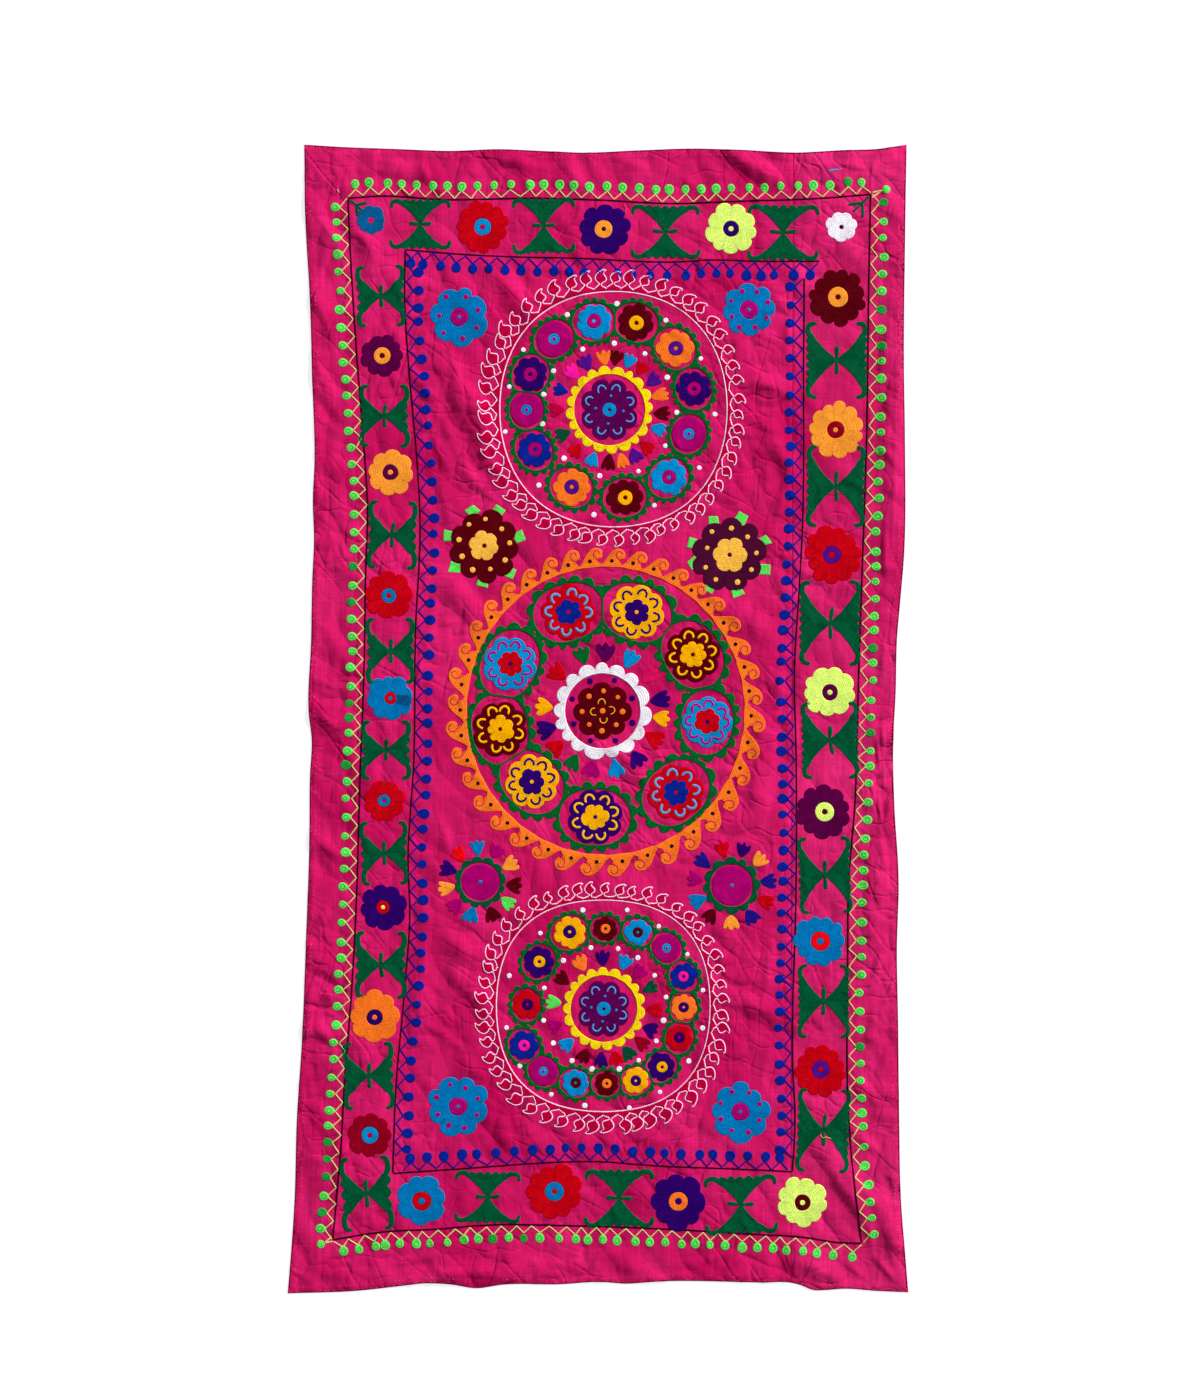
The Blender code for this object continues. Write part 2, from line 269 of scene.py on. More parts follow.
GREEN_MOTIFS = rows_of(
    Fans,
    (-311, 866, 90, 45, 53), (-95, 863, 91, 50, 54), (118, 852, 90, 48, 60), (324, 851, 89, 50, 62),
    (-193, -837, 89, 46, 57), (37, -838, 90, 52, 60), (250, -850, 92, 52, 63), (-380, 740, 2, 43, 53),
    (-374, 530, 0, 44, 54), (-360, 322, -2, 44, 59), (-363, 119, 1, 43, 57), (-371, -54, 0, 44, 51),
    (-374, -235, 2, 42, 55), (-380, -430, 0, 46, 58), (-401, -624, 2, 45, 58), (-405, -830, 4, 45, 64),
    (418, 628, 0, 55, 67), (416, 407, -1, 53, 71), (406, 168, 0, 55, 74), (406, -37, 1, 51, 67),
    (397, -273, 2, 47, 67), (395, -494, 0, 46, 64), (394, -719, -2, 47, 73),
)

BlueFlower = namedtuple("BlueFlower", "x y radius petals")

BLUE_FLOWERS = rows_of(
    BlueFlower,
    (-243, 703, 52, 7), (264, 716, 47, 8), (-245, -678, 54, 8), (249, -687, 52, 8),
)

DarkFlower = namedtuple("DarkFlower", "x y radius petals base heart_radius leaves")

DARK_FLOWERS = [
    DarkFlower(-199, 303, 64, 9, "maroon", 27, (15, 69, 109, 164, 217, 267, 313)),
    DarkFlower(230, 287, 66, 9, "aubergine", 31, (22, 73, 116, 162, 192, 239, 282, 337)),
]

TulipDisc = namedtuple("TulipDisc", "x y disc_radius ring_radius first_angle tulips")

TULIP_DISCS = [
    TulipDisc(-206, -285, 32, 46, 94, "blue magenta light_orange maroon bright_green maroon "
              "blue magenta light_orange indigo scarlet"),
    TulipDisc(234, -291, 35, 51, 105, "red indigo light_orange navy red navy light_orange "
              "maroon blue magenta navy"),
]

# A flower in a leafy frame, placed by its angle in degrees and its reach from the middle
Framed = namedtuple("Framed", "angle reach radius base ring dot")
Tulip = namedtuple("Tulip", "angle thread")
Medallion = namedtuple("Medallion", "x y radius_x radius_y corners heart")

TOP_MEDALLION = Medallion(27, 542, 199, 206, 0.03, (20, 541))
TOP_FRAMED = rows_of(
    Framed,
    (100, 156, 32, "sky", "magenta", "light_blue"), (73, 160, 33, "maroon", "yellow", "maroon"),
    (43, 157, 33, "orange", "violet", "orange"), (14, 152, 31, "indigo", "magenta", "indigo"),
    (-17, 145, 30, "magenta", "sky", "magenta"), (-49, 158, 32, "sky", "magenta", "sky"),
    (-80, 156, 33, "maroon", "yellow", "maroon"), (-116, 151, 33, "orange", "violet", "orange"),
    (-152, 149, 31, "royal", "magenta", "royal"), (180, 145, 29, "magenta", "blue", "magenta"),
    (156, 151, 31, "indigo", "magenta", "indigo"), (128, 157, 31, "magenta", "sky", "magenta"),
)
TOP_TULIPS = rows_of(
    Tulip,
    (96, "orange"), (83, "maroon"), (68, "sky"), (52, "red"), (34, "violet"), (16, "orange"),
    (-4, "maroon"), (-22, "sky"), (-45, "red"), (-61, "violet"), (-76, "orange"), (-91, "maroon"),
    (-109, "sky"), (-130, "red"), (-152, "dark_green"), (180, "crimson"), (158, "royal"),
    (135, "hot_pink"), (117, "violet"),
)

MIDDLE_MEDALLION = Medallion(13, 14, 245, 254, 0.0, (8, 14))
MIDDLE_FRAMED = rows_of(
    Framed,
    (109, 183, 49, "red", "royal", "light_blue"), (71, 183, 49, "yellow", "indigo", "indigo"),
    (32, 186, 49, "maroon", "yellow", "yellow"), (-6, 184, 45, "sky", "red", "magenta"),
    (-48, 192, 50, "red", "royal", "light_blue"), (-94, 186, 49, "indigo", "yellow", "yellow"),
    (-135, 175, 48, "yellow", "indigo", "indigo"), (-170, 182, 49, "maroon", "yellow", "yellow"),
    (153, 182, 48, "sky", "red", "magenta"),
)
MIDDLE_TULIPS = rows_of(
    Tulip,
    (110, "frame_green"), (87, "purple"), (62, "sky"), (37, "rose"), (11, "indigo"), (-7, "yellow"),
    (-28, "red"), (-54, "indigo"), (-77, "sky"), (-101, "magenta"), (-120, "frame_green"),
    (-142, "red"), (-162, "indigo"), (176, "yellow"), (140, "red"),
)

BOTTOM_MEDALLION = Medallion(9, -502, 187, 185, 0.055, (10, -507))
BOTTOM_FRAMED = rows_of(
    Framed,
    (114, 146, 29, "yellow", "indigo", "yellow"), (89, 140, 22, "maroon", "orange", "maroon"),
    (66, 147, 23, "sky", "maroon", "sky"), (44, 153, 25, "magenta", "sky", "magenta"),
    (22, 151, 24, "royal", "hot_pink", "royal"), (1, 140, 23, "orange", "indigo", "orange"),
    (-21, 142, 24, "red", "indigo", "red"), (-45, 143, 25, "indigo", "yellow", "indigo"),
    (-66, 138, 24, "yellow", "indigo", "yellow"), (-88, 131, 22, "maroon", "orange", "maroon"),
    (-111, 139, 24, "sky", "maroon", "sky"), (-134, 152, 25, "magenta", "sky", "magenta"),
    (-155, 154, 26, "royal", "hot_pink", "royal"), (177, 135, 25, "red", "indigo", "red"),
    (144, 140, 27, "indigo", "yellow", "indigo"),
)
BOTTOM_TULIPS = rows_of(
    Tulip,
    (117, "orange"), (91, "indigo"), (66, "sky"), (46, "magenta"), (24, "dark_green"), (-1, "red"),
    (-24, "indigo"), (-42, "wine"), (-61, "dark_green"), (-76, "red"), (-93, "indigo"),
    (-113, "maroon"), (-136, "sky"), (-161, "magenta"), (173, "bright_green"), (144, "maroon"),
)


# The shape of the cloth


def through(points, along):
    """A smooth curve through the points of an edge, read at places along it."""
    places, values = np.array(points, float).T
    slopes = np.gradient(values, places)
    along = np.clip(np.asarray(along, float), places[0], places[-1])
    index = np.clip(np.searchsorted(places, along, side="right") - 1, 0, len(places) - 2)
    step = places[index + 1] - places[index]
    t = (along - places[index]) / step
    start = (1 + 2 * t) * (1 - t) ** 2 * values[index] + t * (1 - t) ** 2 * step * slopes[index]
    end = t**2 * (3 - 2 * t) * values[index + 1] + t**2 * (t - 1) * step * slopes[index + 1]
    return start + end


def seam_at(level):
    """Where the middle of the seam is at a height of the cloth."""
    return SEAM_BOTTOM_X + (SEAM_TOP_X - SEAM_BOTTOM_X) * (level + HALF_LENGTH) / LENGTH


class Relief:
    """The cloth's underside as heights on a fine square grid, read between its points."""

    PITCH = 2.5
    LEFT = -570.0
    LOW = -1030.0
    COLUMNS = 457
    ROWS = 825

    def __init__(self):
        self.x = self.LEFT + self.PITCH * np.arange(self.COLUMNS)
        self.y = self.LOW + self.PITCH * np.arange(self.ROWS)
        self.heights = np.zeros((self.ROWS, self.COLUMNS))

    def near(self, x, y, reach):
        """The part of the grid within reach of a place, and where its points lie from there."""
        columns = slice(*np.searchsorted(self.x, (x - reach, x + reach)))
        rows = slice(*np.searchsorted(self.y, (y - reach, y + reach)))
        return (rows, columns), *np.meshgrid(self.x[columns] - x, self.y[rows] - y)

    def add(self, fold):
        """Lifts the cloth along a soft ridge."""
        turn = math.radians(fold.turn)
        reach = fold.length / 2 + fold.half_width + abs(fold.bow)
        part, x, y = self.near(fold.x, fold.y, reach)
        along = (x * math.cos(turn) + y * math.sin(turn)) / (fold.length / 2)
        across = y * math.cos(turn) - x * math.sin(turn)
        across = (across - fold.bow * (1 - along**2)) / fold.half_width
        hump = np.cos(np.clip(along, -1, 1) * UP) ** 2 * np.cos(np.clip(across, -1, 1) * UP) ** 2
        self.heights[part] += fold.height * hump

    def stiffen(self, x, y, radius):
        """Evens the cloth out under a densely stitched flower."""
        part, *offsets = self.near(x, y, STIFF_REACH * radius)
        heights = self.heights[part]
        away = np.hypot(*offsets) / radius
        share = STIFFNESS * np.clip((STIFF_REACH - away) / STIFF_FADE, 0, 1)
        heights += share * (np.average(heights, weights=share + 1e-9) - heights)

    def at(self, x, y):
        u = np.clip((np.asarray(x) - self.LEFT) / self.PITCH, 0, len(self.x) - 1.001)
        v = np.clip((np.asarray(y) - self.LOW) / self.PITCH, 0, len(self.y) - 1.001)
        i, j = u.astype(int), v.astype(int)
        s, t = u - i, v - j
        low = self.heights[j, i] * (1 - s) + self.heights[j, i + 1] * s
        high = self.heights[j + 1, i] * (1 - s) + self.heights[j + 1, i + 1] * s
        return low * (1 - t) + high * t


CREASED_X = 530
CREASED_Y = 995


def small_creases(random, count):
    """Short creases all over, most of them steep diagonals, deepest in the plain border."""
    for _ in range(count):
        x, y = random.uniform(-CREASED_X, CREASED_X), random.uniform(-CREASED_Y, CREASED_Y)
        steep = random.random() < 0.45
        turn = random.normal(86, 14) if steep else random.normal(-42, 26)
        plain = max(abs(x) / CREASED_X, abs(y) / CREASED_Y) ** 3
        height = random.uniform(0.4, 1.3) * (0.9 + 1.3 * plain)
        length = random.uniform(30, 130)
        yield Fold(x, y, turn, length, random.uniform(6.5, 13), height, random.normal(0, 4))


def laid_cloth():
    relief = Relief()
    for fold in [*FOLDS, *CREASES, *small_creases(np.random.default_rng(7), SMALL_CREASES)]:
        relief.add(fold)
    for row in [*BORDER_FLOWERS, *BLUE_FLOWERS, *DARK_FLOWERS]:
        relief.stiffen(row.x, row.y, row.radius)
    high = np.maximum(relief.heights - PRESSED_FROM, 0)
    relief.heights += PRESSED_RANGE * np.tanh(high / PRESSED_RANGE) - high
    return relief


RELIEF = laid_cloth()


def underside(x, y):
    """The height of the cloth's underside."""
    return RELIEF.at(x, y)


def bands(x, y):
    """The extra thickness of the turned hems and of the lapped seam."""
    from_seam = np.abs(x - seam_at(y))
    from_edge = np.minimum.reduce(
        [
            x - through(LEFT_EDGE, y),
            through(RIGHT_EDGE, y) - x,
            y - through(BOTTOM_EDGE, x),
            through(TOP_EDGE, x) - y,
        ]
    )
    hem = HEM_RISE * np.clip(1 - (from_edge - HEM_WIDTH) / STEP_WIDTH, 0, 1)
    seam = SEAM_RISE * np.clip(1 - (from_seam - SEAM_ALLOWANCE) / STEP_WIDTH, 0, 1)
    return np.maximum(hem, seam)


def cloth_top(x, y):
    """The height of the cloth's upper face."""
    return underside(x, y) + FABRIC + bands(x, y)


# Materials


def linear(value):
    """One display value of 0 to 255 as linear light."""
    share = value / 255
    return share / 12.92 if share <= 0.04045 else ((share + 0.055) / 1.055) ** 2.4


def colour(rgb):
    """A colour of three parts of 0 to 255, as Blender's nodes take it."""
    return (*(linear(part) for part in rgb), 1.0)


FABRIC_SPECULAR = 0.015
# A thread brighter than this, as the sum of its parts, has paler shadows between its stitches
BRIGHT_THREAD = 400


class Nodes:
    """Adds nodes to a material, and joins them as it goes."""

    def __init__(self, name):
        self.material = bpy.data.materials.new(name)
        self.material.use_nodes = True
        self.tree = self.material.node_tree
        self.shader = self.tree.nodes["Principled BSDF"]

    def add(self, kind, inputs=None, **settings):
        node = self.tree.nodes.new(kind)
        for key, value in settings.items():
            setattr(node, key, value)
        for key, value in (inputs or {}).items():
            self.put(value, node.inputs[key])
        return node

    def put(self, value, socket):
        if isinstance(value, bpy.types.NodeSocket):
            self.tree.links.new(value, socket)
        else:
            socket.default_value = value

    def math(self, operation, first, second=0.0, third=0.0):
        node = self.add("ShaderNodeMath", {0: first, 1: second, 2: third}, operation=operation)
        return node.outputs[0]

    def noise(self, vector, scale, detail, roughness=0.5):
        values = {"Vector": vector, "Scale": scale, "Detail": detail, "Roughness": roughness}
        return self.add("ShaderNodeTexNoise", values).outputs["Fac"]

    def creased(self, vector, detail):
        """Sharp crease lines between smooth cheeks of cloth."""
        return self.math("ABSOLUTE", self.math("SUBTRACT", self.noise(vector, 1.0, detail, 0.45), 0.5))

    def stretch(self, vector, sizes, turn=0.0):
        """Measures places in features of these sizes, along and across the way of turn."""
        values = {"Vector": vector, "Scale": sizes, "Rotation": (0, 0, turn)}
        return self.add("ShaderNodeMapping", values, vector_type="TEXTURE").outputs["Vector"]

    def blend(self, share, first, second, mode="MIX"):
        values = {0: share, 6: first, 7: second}
        return self.add("ShaderNodeMix", values, data_type="RGBA", blend_type=mode).outputs[2]

    def fit(self, value, low, high, new_low, new_high):
        values = {0: value, 1: low, 2: high, 3: new_low, 4: new_high}
        return self.add("ShaderNodeMapRange", values).outputs[0]

    def bump(self, height, distance, strength=1.0, normal=None):
        values = {"Height": height, "Strength": strength, "Distance": distance}
        if normal:
            values["Normal"] = normal
        return self.add("ShaderNodeBump", values).outputs["Normal"]

    def finish(self, base, tone, normal, roughness):
        """The base colour shaded by a grey tone, with the bumps and a dull surface."""
        grey = self.add("ShaderNodeCombineColor", {0: tone, 1: tone, 2: tone}).outputs[0]
        self.put(self.blend(1.0, base, grey, "MULTIPLY"), self.shader.inputs["Base Color"])
        self.put(normal, self.shader.inputs["Normal"])
        self.put(roughness, self.shader.inputs["Roughness"])
        self.put(FABRIC_SPECULAR, self.shader.inputs["Specular IOR Level"])
        return self.material


def thread_material(name):
    """Chain stitch in one thread. The UVs run along and across the rows, in millimetres."""
    nodes = Nodes(f"thread_{name}")
    do = nodes.math
    bright = sum(THREADS[name]) > BRIGHT_THREAD
    place = nodes.add("ShaderNodeUVMap", uv_map="rows").outputs["UV"]
    parts = nodes.add("ShaderNodeSeparateXYZ", {"Vector": place})
    along = do("DIVIDE", parts.outputs["X"], STITCH)
    across = do("DIVIDE", parts.outputs["Y"], ROW)
    side = do("ABSOLUTE", do("SUBTRACT", do("FRACT", across), 0.5))
    dome = do("SUBTRACT", 1.0, do("MULTIPLY", do("POWER", side, 2.0), 4.0))
    chevron = do("MULTIPLY_ADD", side, 0.9, along)
    link = do("FRACT", do("MULTIPLY_ADD", do("FLOOR", across), 0.37, chevron))
    loop = do("SINE", do("MULTIPLY", link, math.pi))
    strand = do("MULTIPLY", dome, do("MULTIPLY_ADD", loop, 0.55, 0.45))
    fibre = nodes.noise(nodes.stretch(place, (1.1, 0.29, 1.0)), 1.0, 2.0)
    height = do("MULTIPLY_ADD", fibre, 0.35, strand)
    # Painted shade in the hollows between the stitches, and painted highlight on their crests
    shade = nodes.fit(height, 0.1, 1.1, 0.76 if bright else 0.56, 1.12)
    world = nodes.add("ShaderNodeTexCoord").outputs["Object"]
    # Painted sheen: the thread's colour is a little lighter or darker in patches of about a centimetre,
    # as stitches turned different ways catch the light
    sheen_range = (0.96, 1.03) if bright else (0.9, 1.07)
    sheen_patches = nodes.fit(nodes.noise(world, 70.0, 3.0), 0.3, 0.7, *sheen_range)
    spots = nodes.fit(nodes.noise(world, 260.0, 2.0, 0.6), 0.32, 0.68, 0.86, 1.1)
    tone = do("MULTIPLY", do("MULTIPLY", shade, spots), sheen_patches)
    return nodes.finish(colour(THREADS[name]), tone, nodes.bump(height, 0.0006, 0.9), 0.62)


def cotton_material(name, deep, bright):
    """Hand-dyed plain weave: uneven yarns, mottled dye, small wrinkles and sharp crumples. The
    sizes of the features, along and across the way that they run, are in metres."""
    nodes = Nodes(name)
    do = nodes.math
    place = nodes.add("ShaderNodeTexCoord").outputs["Object"]
    parts = nodes.add("ShaderNodeSeparateXYZ", {"Vector": place})
    turns = TURN / (WEAVE * MM)
    warp, weft = (do("SINE", do("MULTIPLY", parts.outputs[axis], turns)) for axis in ("X", "Y"))
    warp_slub = nodes.noise(nodes.stretch(place, (0.0036, 0.12, 1)), 1.0, 4.0, 0.65)
    weft_slub = nodes.noise(nodes.stretch(place, (0.09, 0.0036, 1)), 1.0, 4.0, 0.65)
    slub = do("MULTIPLY_ADD", weft_slub, 0.7, do("MULTIPLY", warp_slub, 1.3))
    mottle = nodes.noise(place, 3.2, 5.0, 0.62)
    streak = nodes.noise(nodes.stretch(place, (0.2, 0.05, 1), -0.9), 1.0, 3.0, 0.6)
    dye = do("MULTIPLY_ADD", mottle, 0.75, do("MULTIPLY", streak, 0.35))
    base = nodes.blend(nodes.fit(dye, 0.36, 0.76, 0.0, 1.0), colour(deep), colour(bright))
    yarn = nodes.fit(slub, 0.7, 1.3, 0.79, 1.2)
    leaning = nodes.creased(nodes.stretch(place, (0.125, 0.052, 1), -0.9), 0.0)
    steep = nodes.creased(nodes.stretch(place, (0.12, 0.046, 1), 1.38), 0.0)
    small = nodes.creased(nodes.stretch(place, (0.06, 0.038, 1), 0.3), 0.6)
    calm = nodes.fit(nodes.noise(place, 5.5, 1.0), 0.38, 0.62, 0.15, 0.75)
    wrinkles = do("MULTIPLY_ADD", steep, 0.8, do("MULTIPLY_ADD", small, calm, leaning))
    lines = 0.0
    for sizes, turn in (((0.15, 0.06, 1), -0.8), ((0.17, 0.055, 1), 1.3), ((0.07, 0.05, 1), 0.2)):
        contour = nodes.creased(nodes.stretch(place, sizes, turn), 1.0)
        lines = do("ADD", lines, nodes.fit(contour, 0.0, 0.04, 0.0, 1.0))
    normal = nodes.bump(wrinkles, 0.012)
    normal = nodes.bump(do("MULTIPLY", lines, calm), 0.0015, normal=normal)
    weave = do("MULTIPLY_ADD", do("MULTIPLY", warp, weft), 0.3, slub)
    return nodes.finish(base, yarn, nodes.bump(weave, 0.00015, 0.5, normal), 0.82)


MATERIALS = {name: thread_material(name) for name in THREADS}


# Meshes


def distances(path):
    """How far along a path each of its points lies."""
    return np.concatenate([[0.0], np.cumsum(np.hypot(*np.diff(path, axis=0).T))])


def write_mesh(name, points, faces, uvs, slots, materials):
    """An object from arrays. faces, uvs and slots are lists of blocks whose faces are alike."""
    mesh = bpy.data.meshes.new(name)
    corners = np.concatenate([block.ravel() for block in faces]).astype(np.int32)
    sizes = np.concatenate([np.full(len(block), block.shape[1]) for block in faces])
    starts = np.concatenate([[0], np.cumsum(sizes)[:-1]]).astype(np.int32)
    mesh.vertices.add(len(points))
    mesh.vertices.foreach_set("co", (points * MM).astype(np.float32).ravel())
    mesh.loops.add(len(corners))
    mesh.loops.foreach_set("vertex_index", corners)
    mesh.polygons.add(len(starts))
    mesh.polygons.foreach_set("loop_start", starts)
    mesh.polygons.foreach_set("material_index", np.concatenate(slots).astype(np.int32))
    layer = mesh.uv_layers.new(name="rows")
    spread = np.concatenate([block.reshape(-1, 2) for block in uvs])
    layer.data.foreach_set("uv", spread.astype(np.float32).ravel())
    for material in materials:
        mesh.materials.append(material)
    mesh.update(calc_edges=True)
    mesh.validate()
    mesh.shade_smooth()
    piece = bpy.data.objects.new(name, mesh)
    bpy.context.scene.collection.objects.link(piece)
    return piece


def bridge(first_count, second_count, closed):
    """Faces between two rows of points, as places along each row. The second row may have half
    the steps of the first, or be one point. Returns blocks of (row, place) pairs."""
    steps = first_count if closed else first_count - 1
    halved = second_count not in (first_count, 1)
    j = np.arange(steps // 2 if halved else steps)
    zero, one = np.zeros_like(j), np.ones_like(j)
    if second_count == first_count:
        kinds = [[[zero, j], [zero, j + 1], [one, j + 1], [one, j]]]
    elif second_count == 1:
        kinds = [[[zero, j], [zero, j + 1], [one, zero]]]
    else:
        kinds = [
            [[zero, 2 * j], [zero, 2 * j + 1], [one, j]],
            [[zero, 2 * j + 1], [one, j + 1], [one, j]],
            [[zero, 2 * j + 1], [zero, 2 * j + 2], [one, j + 1]],
        ]
    return [np.stack(kind, 0).transpose(2, 0, 1) for kind in kinds]


def alternate(k):
    """Every other row of stitches stands a little higher."""
    return ROW_RELIEF if k % 2 else -ROW_RELIEF


class Embroidery:
    """Collects stitched patches in many threads, and makes one piece of them."""

    def __init__(self, name, seed):
        self.name = name
        self.random = np.random.default_rng(seed)
        self.points, self.rises, self.threads = [], [], []
        self.faces, self.uvs, self.slots = [], [], []
        self.count = 0

    def thread(self, name):
        if name not in self.threads:
            self.threads.append(name)
        return self.threads.index(name)

    def loft(self, rows, rises, across, thread, closed=True):
        """Faces over rows of points, the outermost first and each row anticlockwise, or from the
        right side to the left along an open line. across is each row's distance from the edge."""
        slot = self.thread(thread)
        firsts, alongs = [], []
        for row, rise in zip(rows, rises):
            firsts.append(self.count)
            self.points.append(row)
            self.rises.append(np.broadcast_to(rise, len(row)))
            self.count += len(row)
            alongs.append(distances(np.vstack([row, row[:1]]) if closed else row))
        for k in range(len(rows) - 1):
            counts = np.array([len(rows[k]), len(rows[k + 1])])
            for block in bridge(*counts, closed):
                row, place = block[..., 0], block[..., 1]
                self.faces.append(np.array(firsts[k : k + 2])[row] + place % counts[row])
                near, far = (line[np.minimum(place, len(line) - 1)] for line in alongs[k : k + 2])
                depth = np.array(across[k : k + 2])[row]
                self.uvs.append(np.stack([np.where(row == 0, near, far), depth], -1))
                self.slots.append(np.full(len(block), slot))

    def knobs(self, count, row):
        """Small ups and downs along a row, one to a stitch."""
        swing = KNOB_RELIEF * np.cos(math.pi * (np.arange(count) + row // 2))
        return swing + self.random.normal(0, 0.03, count)

    def patch(self, outer, inner, thread, level=0.0, row=ROW / 2):
        """A filled shape: rows of stitches from an outline in to an inner outline or a point."""
        inner = np.broadcast_to(inner, outer.shape)
        depth = np.hypot(*(outer - inner).T).mean()
        filled_in = np.ptp(inner, axis=0).max() < 1e-6
        count = max(2, round(depth / row))
        pitch = depth / count
        rows, rises, across = [outer], [level + SKIRT], [0.0]
        share = min(0.3, 0.35 / depth)
        rows.append(outer + (inner - outer) * share)
        rises.append(level + EDGE_RISE + 0.5 * self.knobs(len(outer), 0))
        across.append(0.4)
        step = 1
        for k in range(1, count + 1):
            ring = (outer + (inner - outer) * k / count)[::step]
            spacing = np.hypot(*(ring - np.roll(ring, 1, axis=0)).T).mean()
            if k > 2 and spacing < 0.7 * STITCH and len(ring) % 2 == 0 and len(ring) > 12:
                step *= 2
                ring = ring[::2]
            swell = min(1.0, 0.6 + k / 6)
            rise = level + EDGE_RISE + (FILL_RISE - EDGE_RISE) * swell + alternate(k)
            if k == count and filled_in:
                rows.append(ring[:1])
                rises.append(rise)
            else:
                rows.append(ring)
                rises.append(rise + self.knobs(len(ring), k))
            across.append(k * ROW / 2)
        if not filled_in:
            rows.append(rows[-1])
            rises.append(level + SKIRT)
            across.append((count + 0.4) * ROW / 2)
        self.loft(rows, rises, across, thread)

    def line(self, path, width, thread, level=0.0, rise=LINE_RISE, closed=False, rows=2):
        """A chain-stitched line along a path, or a wide curl of several rows."""
        ahead = np.roll(path, -1, axis=0) - np.roll(path, 1, axis=0)
        if not closed:
            ahead[0] = path[1] - path[0]
            ahead[-1] = path[-1] - path[-2]
        left = np.stack([-ahead[:, 1], ahead[:, 0]], 1) / np.maximum(np.hypot(*ahead.T), 1e-6)[:, None]
        width = np.broadcast_to(width, len(path)) * (1 + 0.1 * np.cos(math.pi * np.arange(len(path))))
        places = np.linspace(-0.32, 0.32, rows)
        places = np.concatenate([[-0.5], places, [0.5]])
        lines = [path + left * (width * place)[:, None] for place in places]
        rises = [np.full(len(path), level + SKIRT)]
        for k in range(rows):
            relief = 0.0 if rows == 2 else alternate(k)
            rises.append(level + rise + relief + self.knobs(len(path), k))
        rises.append(rises[0].copy())
        if not closed:
            for row in rises:
                row[0] = row[-1] = level + SKIRT
        spread = 0.45 if rows == 2 else rows - 1
        across = [(place * spread + 0.5 * max(1, rows - 1)) * ROW for place in places]
        self.loft(lines, rises, across, thread, closed)

    def finish(self):
        """Makes the piece, laid on the cloth's upper face."""
        flat = np.concatenate(self.points)
        height = cloth_top(flat[:, 0], flat[:, 1]) + np.concatenate(self.rises)
        points = np.column_stack([flat, height])
        materials = [MATERIALS[thread] for thread in self.threads]
        piece = write_mesh(self.name, points, self.faces, self.uvs, self.slots, materials)
        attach(piece, "root")


# Outlines, all anticlockwise


def even(count):
    """The nearest even number of steps, of which there are at least 8."""
    return max(8, 2 * round(count / 2))


def around(radius, step):
    """How many steps go round a circle, as an even number."""
    return even(TURN * radius / step)


def evenly(count):
    """Angles evenly round a turn."""
    return np.arange(count) * TURN / count


def wobble(random, angles, size):
    """A hand's unevenness round a closed outline."""
    share = np.ones(len(angles))
    for k in (2, 3, 4):
        share += random.normal(0, size / k) * np.cos(k * angles + random.uniform(0, TURN))
    return share


def ring_points(middle, radius, angles):
    """Points round a middle, at one radius or each at its own."""
    return np.stack([middle[0] + radius * np.cos(angles), middle[1] + radius * np.sin(angles)], 1)


def petal_share(random, angles, petals, unevenness=0.1, phase=None):
    """For each angle, how far it is across its petal, from -1 to 1, and the petal's own size."""
    widths = 1 + random.normal(0, unevenness, petals)
    bounds = np.concatenate([[0], np.cumsum(widths)]) / widths.sum() * TURN
    phase = random.uniform(0, TURN) if phase is None else phase
    past = (angles - phase) % TURN
    index = np.clip(np.searchsorted(bounds, past, side="right") - 1, 0, petals - 1)
    middle = (bounds[index] + bounds[index + 1]) / 2
    half = (bounds[index + 1] - bounds[index]) / 2
    sizes = 1 + random.normal(0, unevenness / 3, petals)
    return (past - middle) / half, sizes[index]


def bulge(share):
    """The round of a petal or scallop: 1 at its middle and 0 where it meets the next."""
    return (np.sqrt(1 - 0.97 * share**2) - math.sqrt(0.03)) / (1 - math.sqrt(0.03))


def lobed(random, middle, radius, petals, depth=0.15, step=STITCH, phase=None):
    """A flower's outline, with round petals and sharp notches."""
    angles = evenly(around(radius * 1.08, step))
    share, size = petal_share(random, angles, petals, 0.1 if phase is None else 0.03, phase)
    reach = radius * size * (1 - depth * (1 - bulge(share))) * wobble(random, angles, 0.012)
    return ring_points(middle, reach, angles)


def round_ring(random, middle, radius, count, unevenness=0.03):
    """An uneven circle of a given number of points."""
    angles = evenly(count)
    return ring_points(middle, radius * wobble(random, angles, unevenness), angles)


def smooth_path(points, step, closed=False):
    """A smooth curve through a few points, in even steps."""
    points = np.asarray(points, float)
    count = len(points)
    if closed:
        padded = np.vstack([points[-1:], points, points[:2]])
    else:
        padded = np.vstack([2 * points[:1] - points[1:2], points, 2 * points[-1:] - points[-2:-1]])
    t = np.linspace(0, 1, 13)[:-1, None]
    parts = []
    for i in range(count if closed else count - 1):
        a, b, c, d = padded[i : i + 4]
        curve = 2 * b + (c - a) * t + (2 * a - 5 * b + 4 * c - d) * t**2
        parts.append((curve + (3 * b - a - 3 * c + d) * t**3) / 2)
    parts.append(points[:1] if closed else points[-1:])
    return even_steps(np.vstack(parts), step, closed)


def even_steps(path, step, closed=False):
    """The same line in even steps. A closed one leaves out its last point, which is its first."""
    path = np.asarray(path, float)
    gone = distances(path)
    count = max(2, round(gone[-1] / step))
    count = even(count) if closed else count
    places = np.linspace(0, gone[-1], count + 1)[: -1 if closed else None]
    return np.stack([np.interp(places, gone, path[:, 0]), np.interp(places, gone, path[:, 1])], 1)


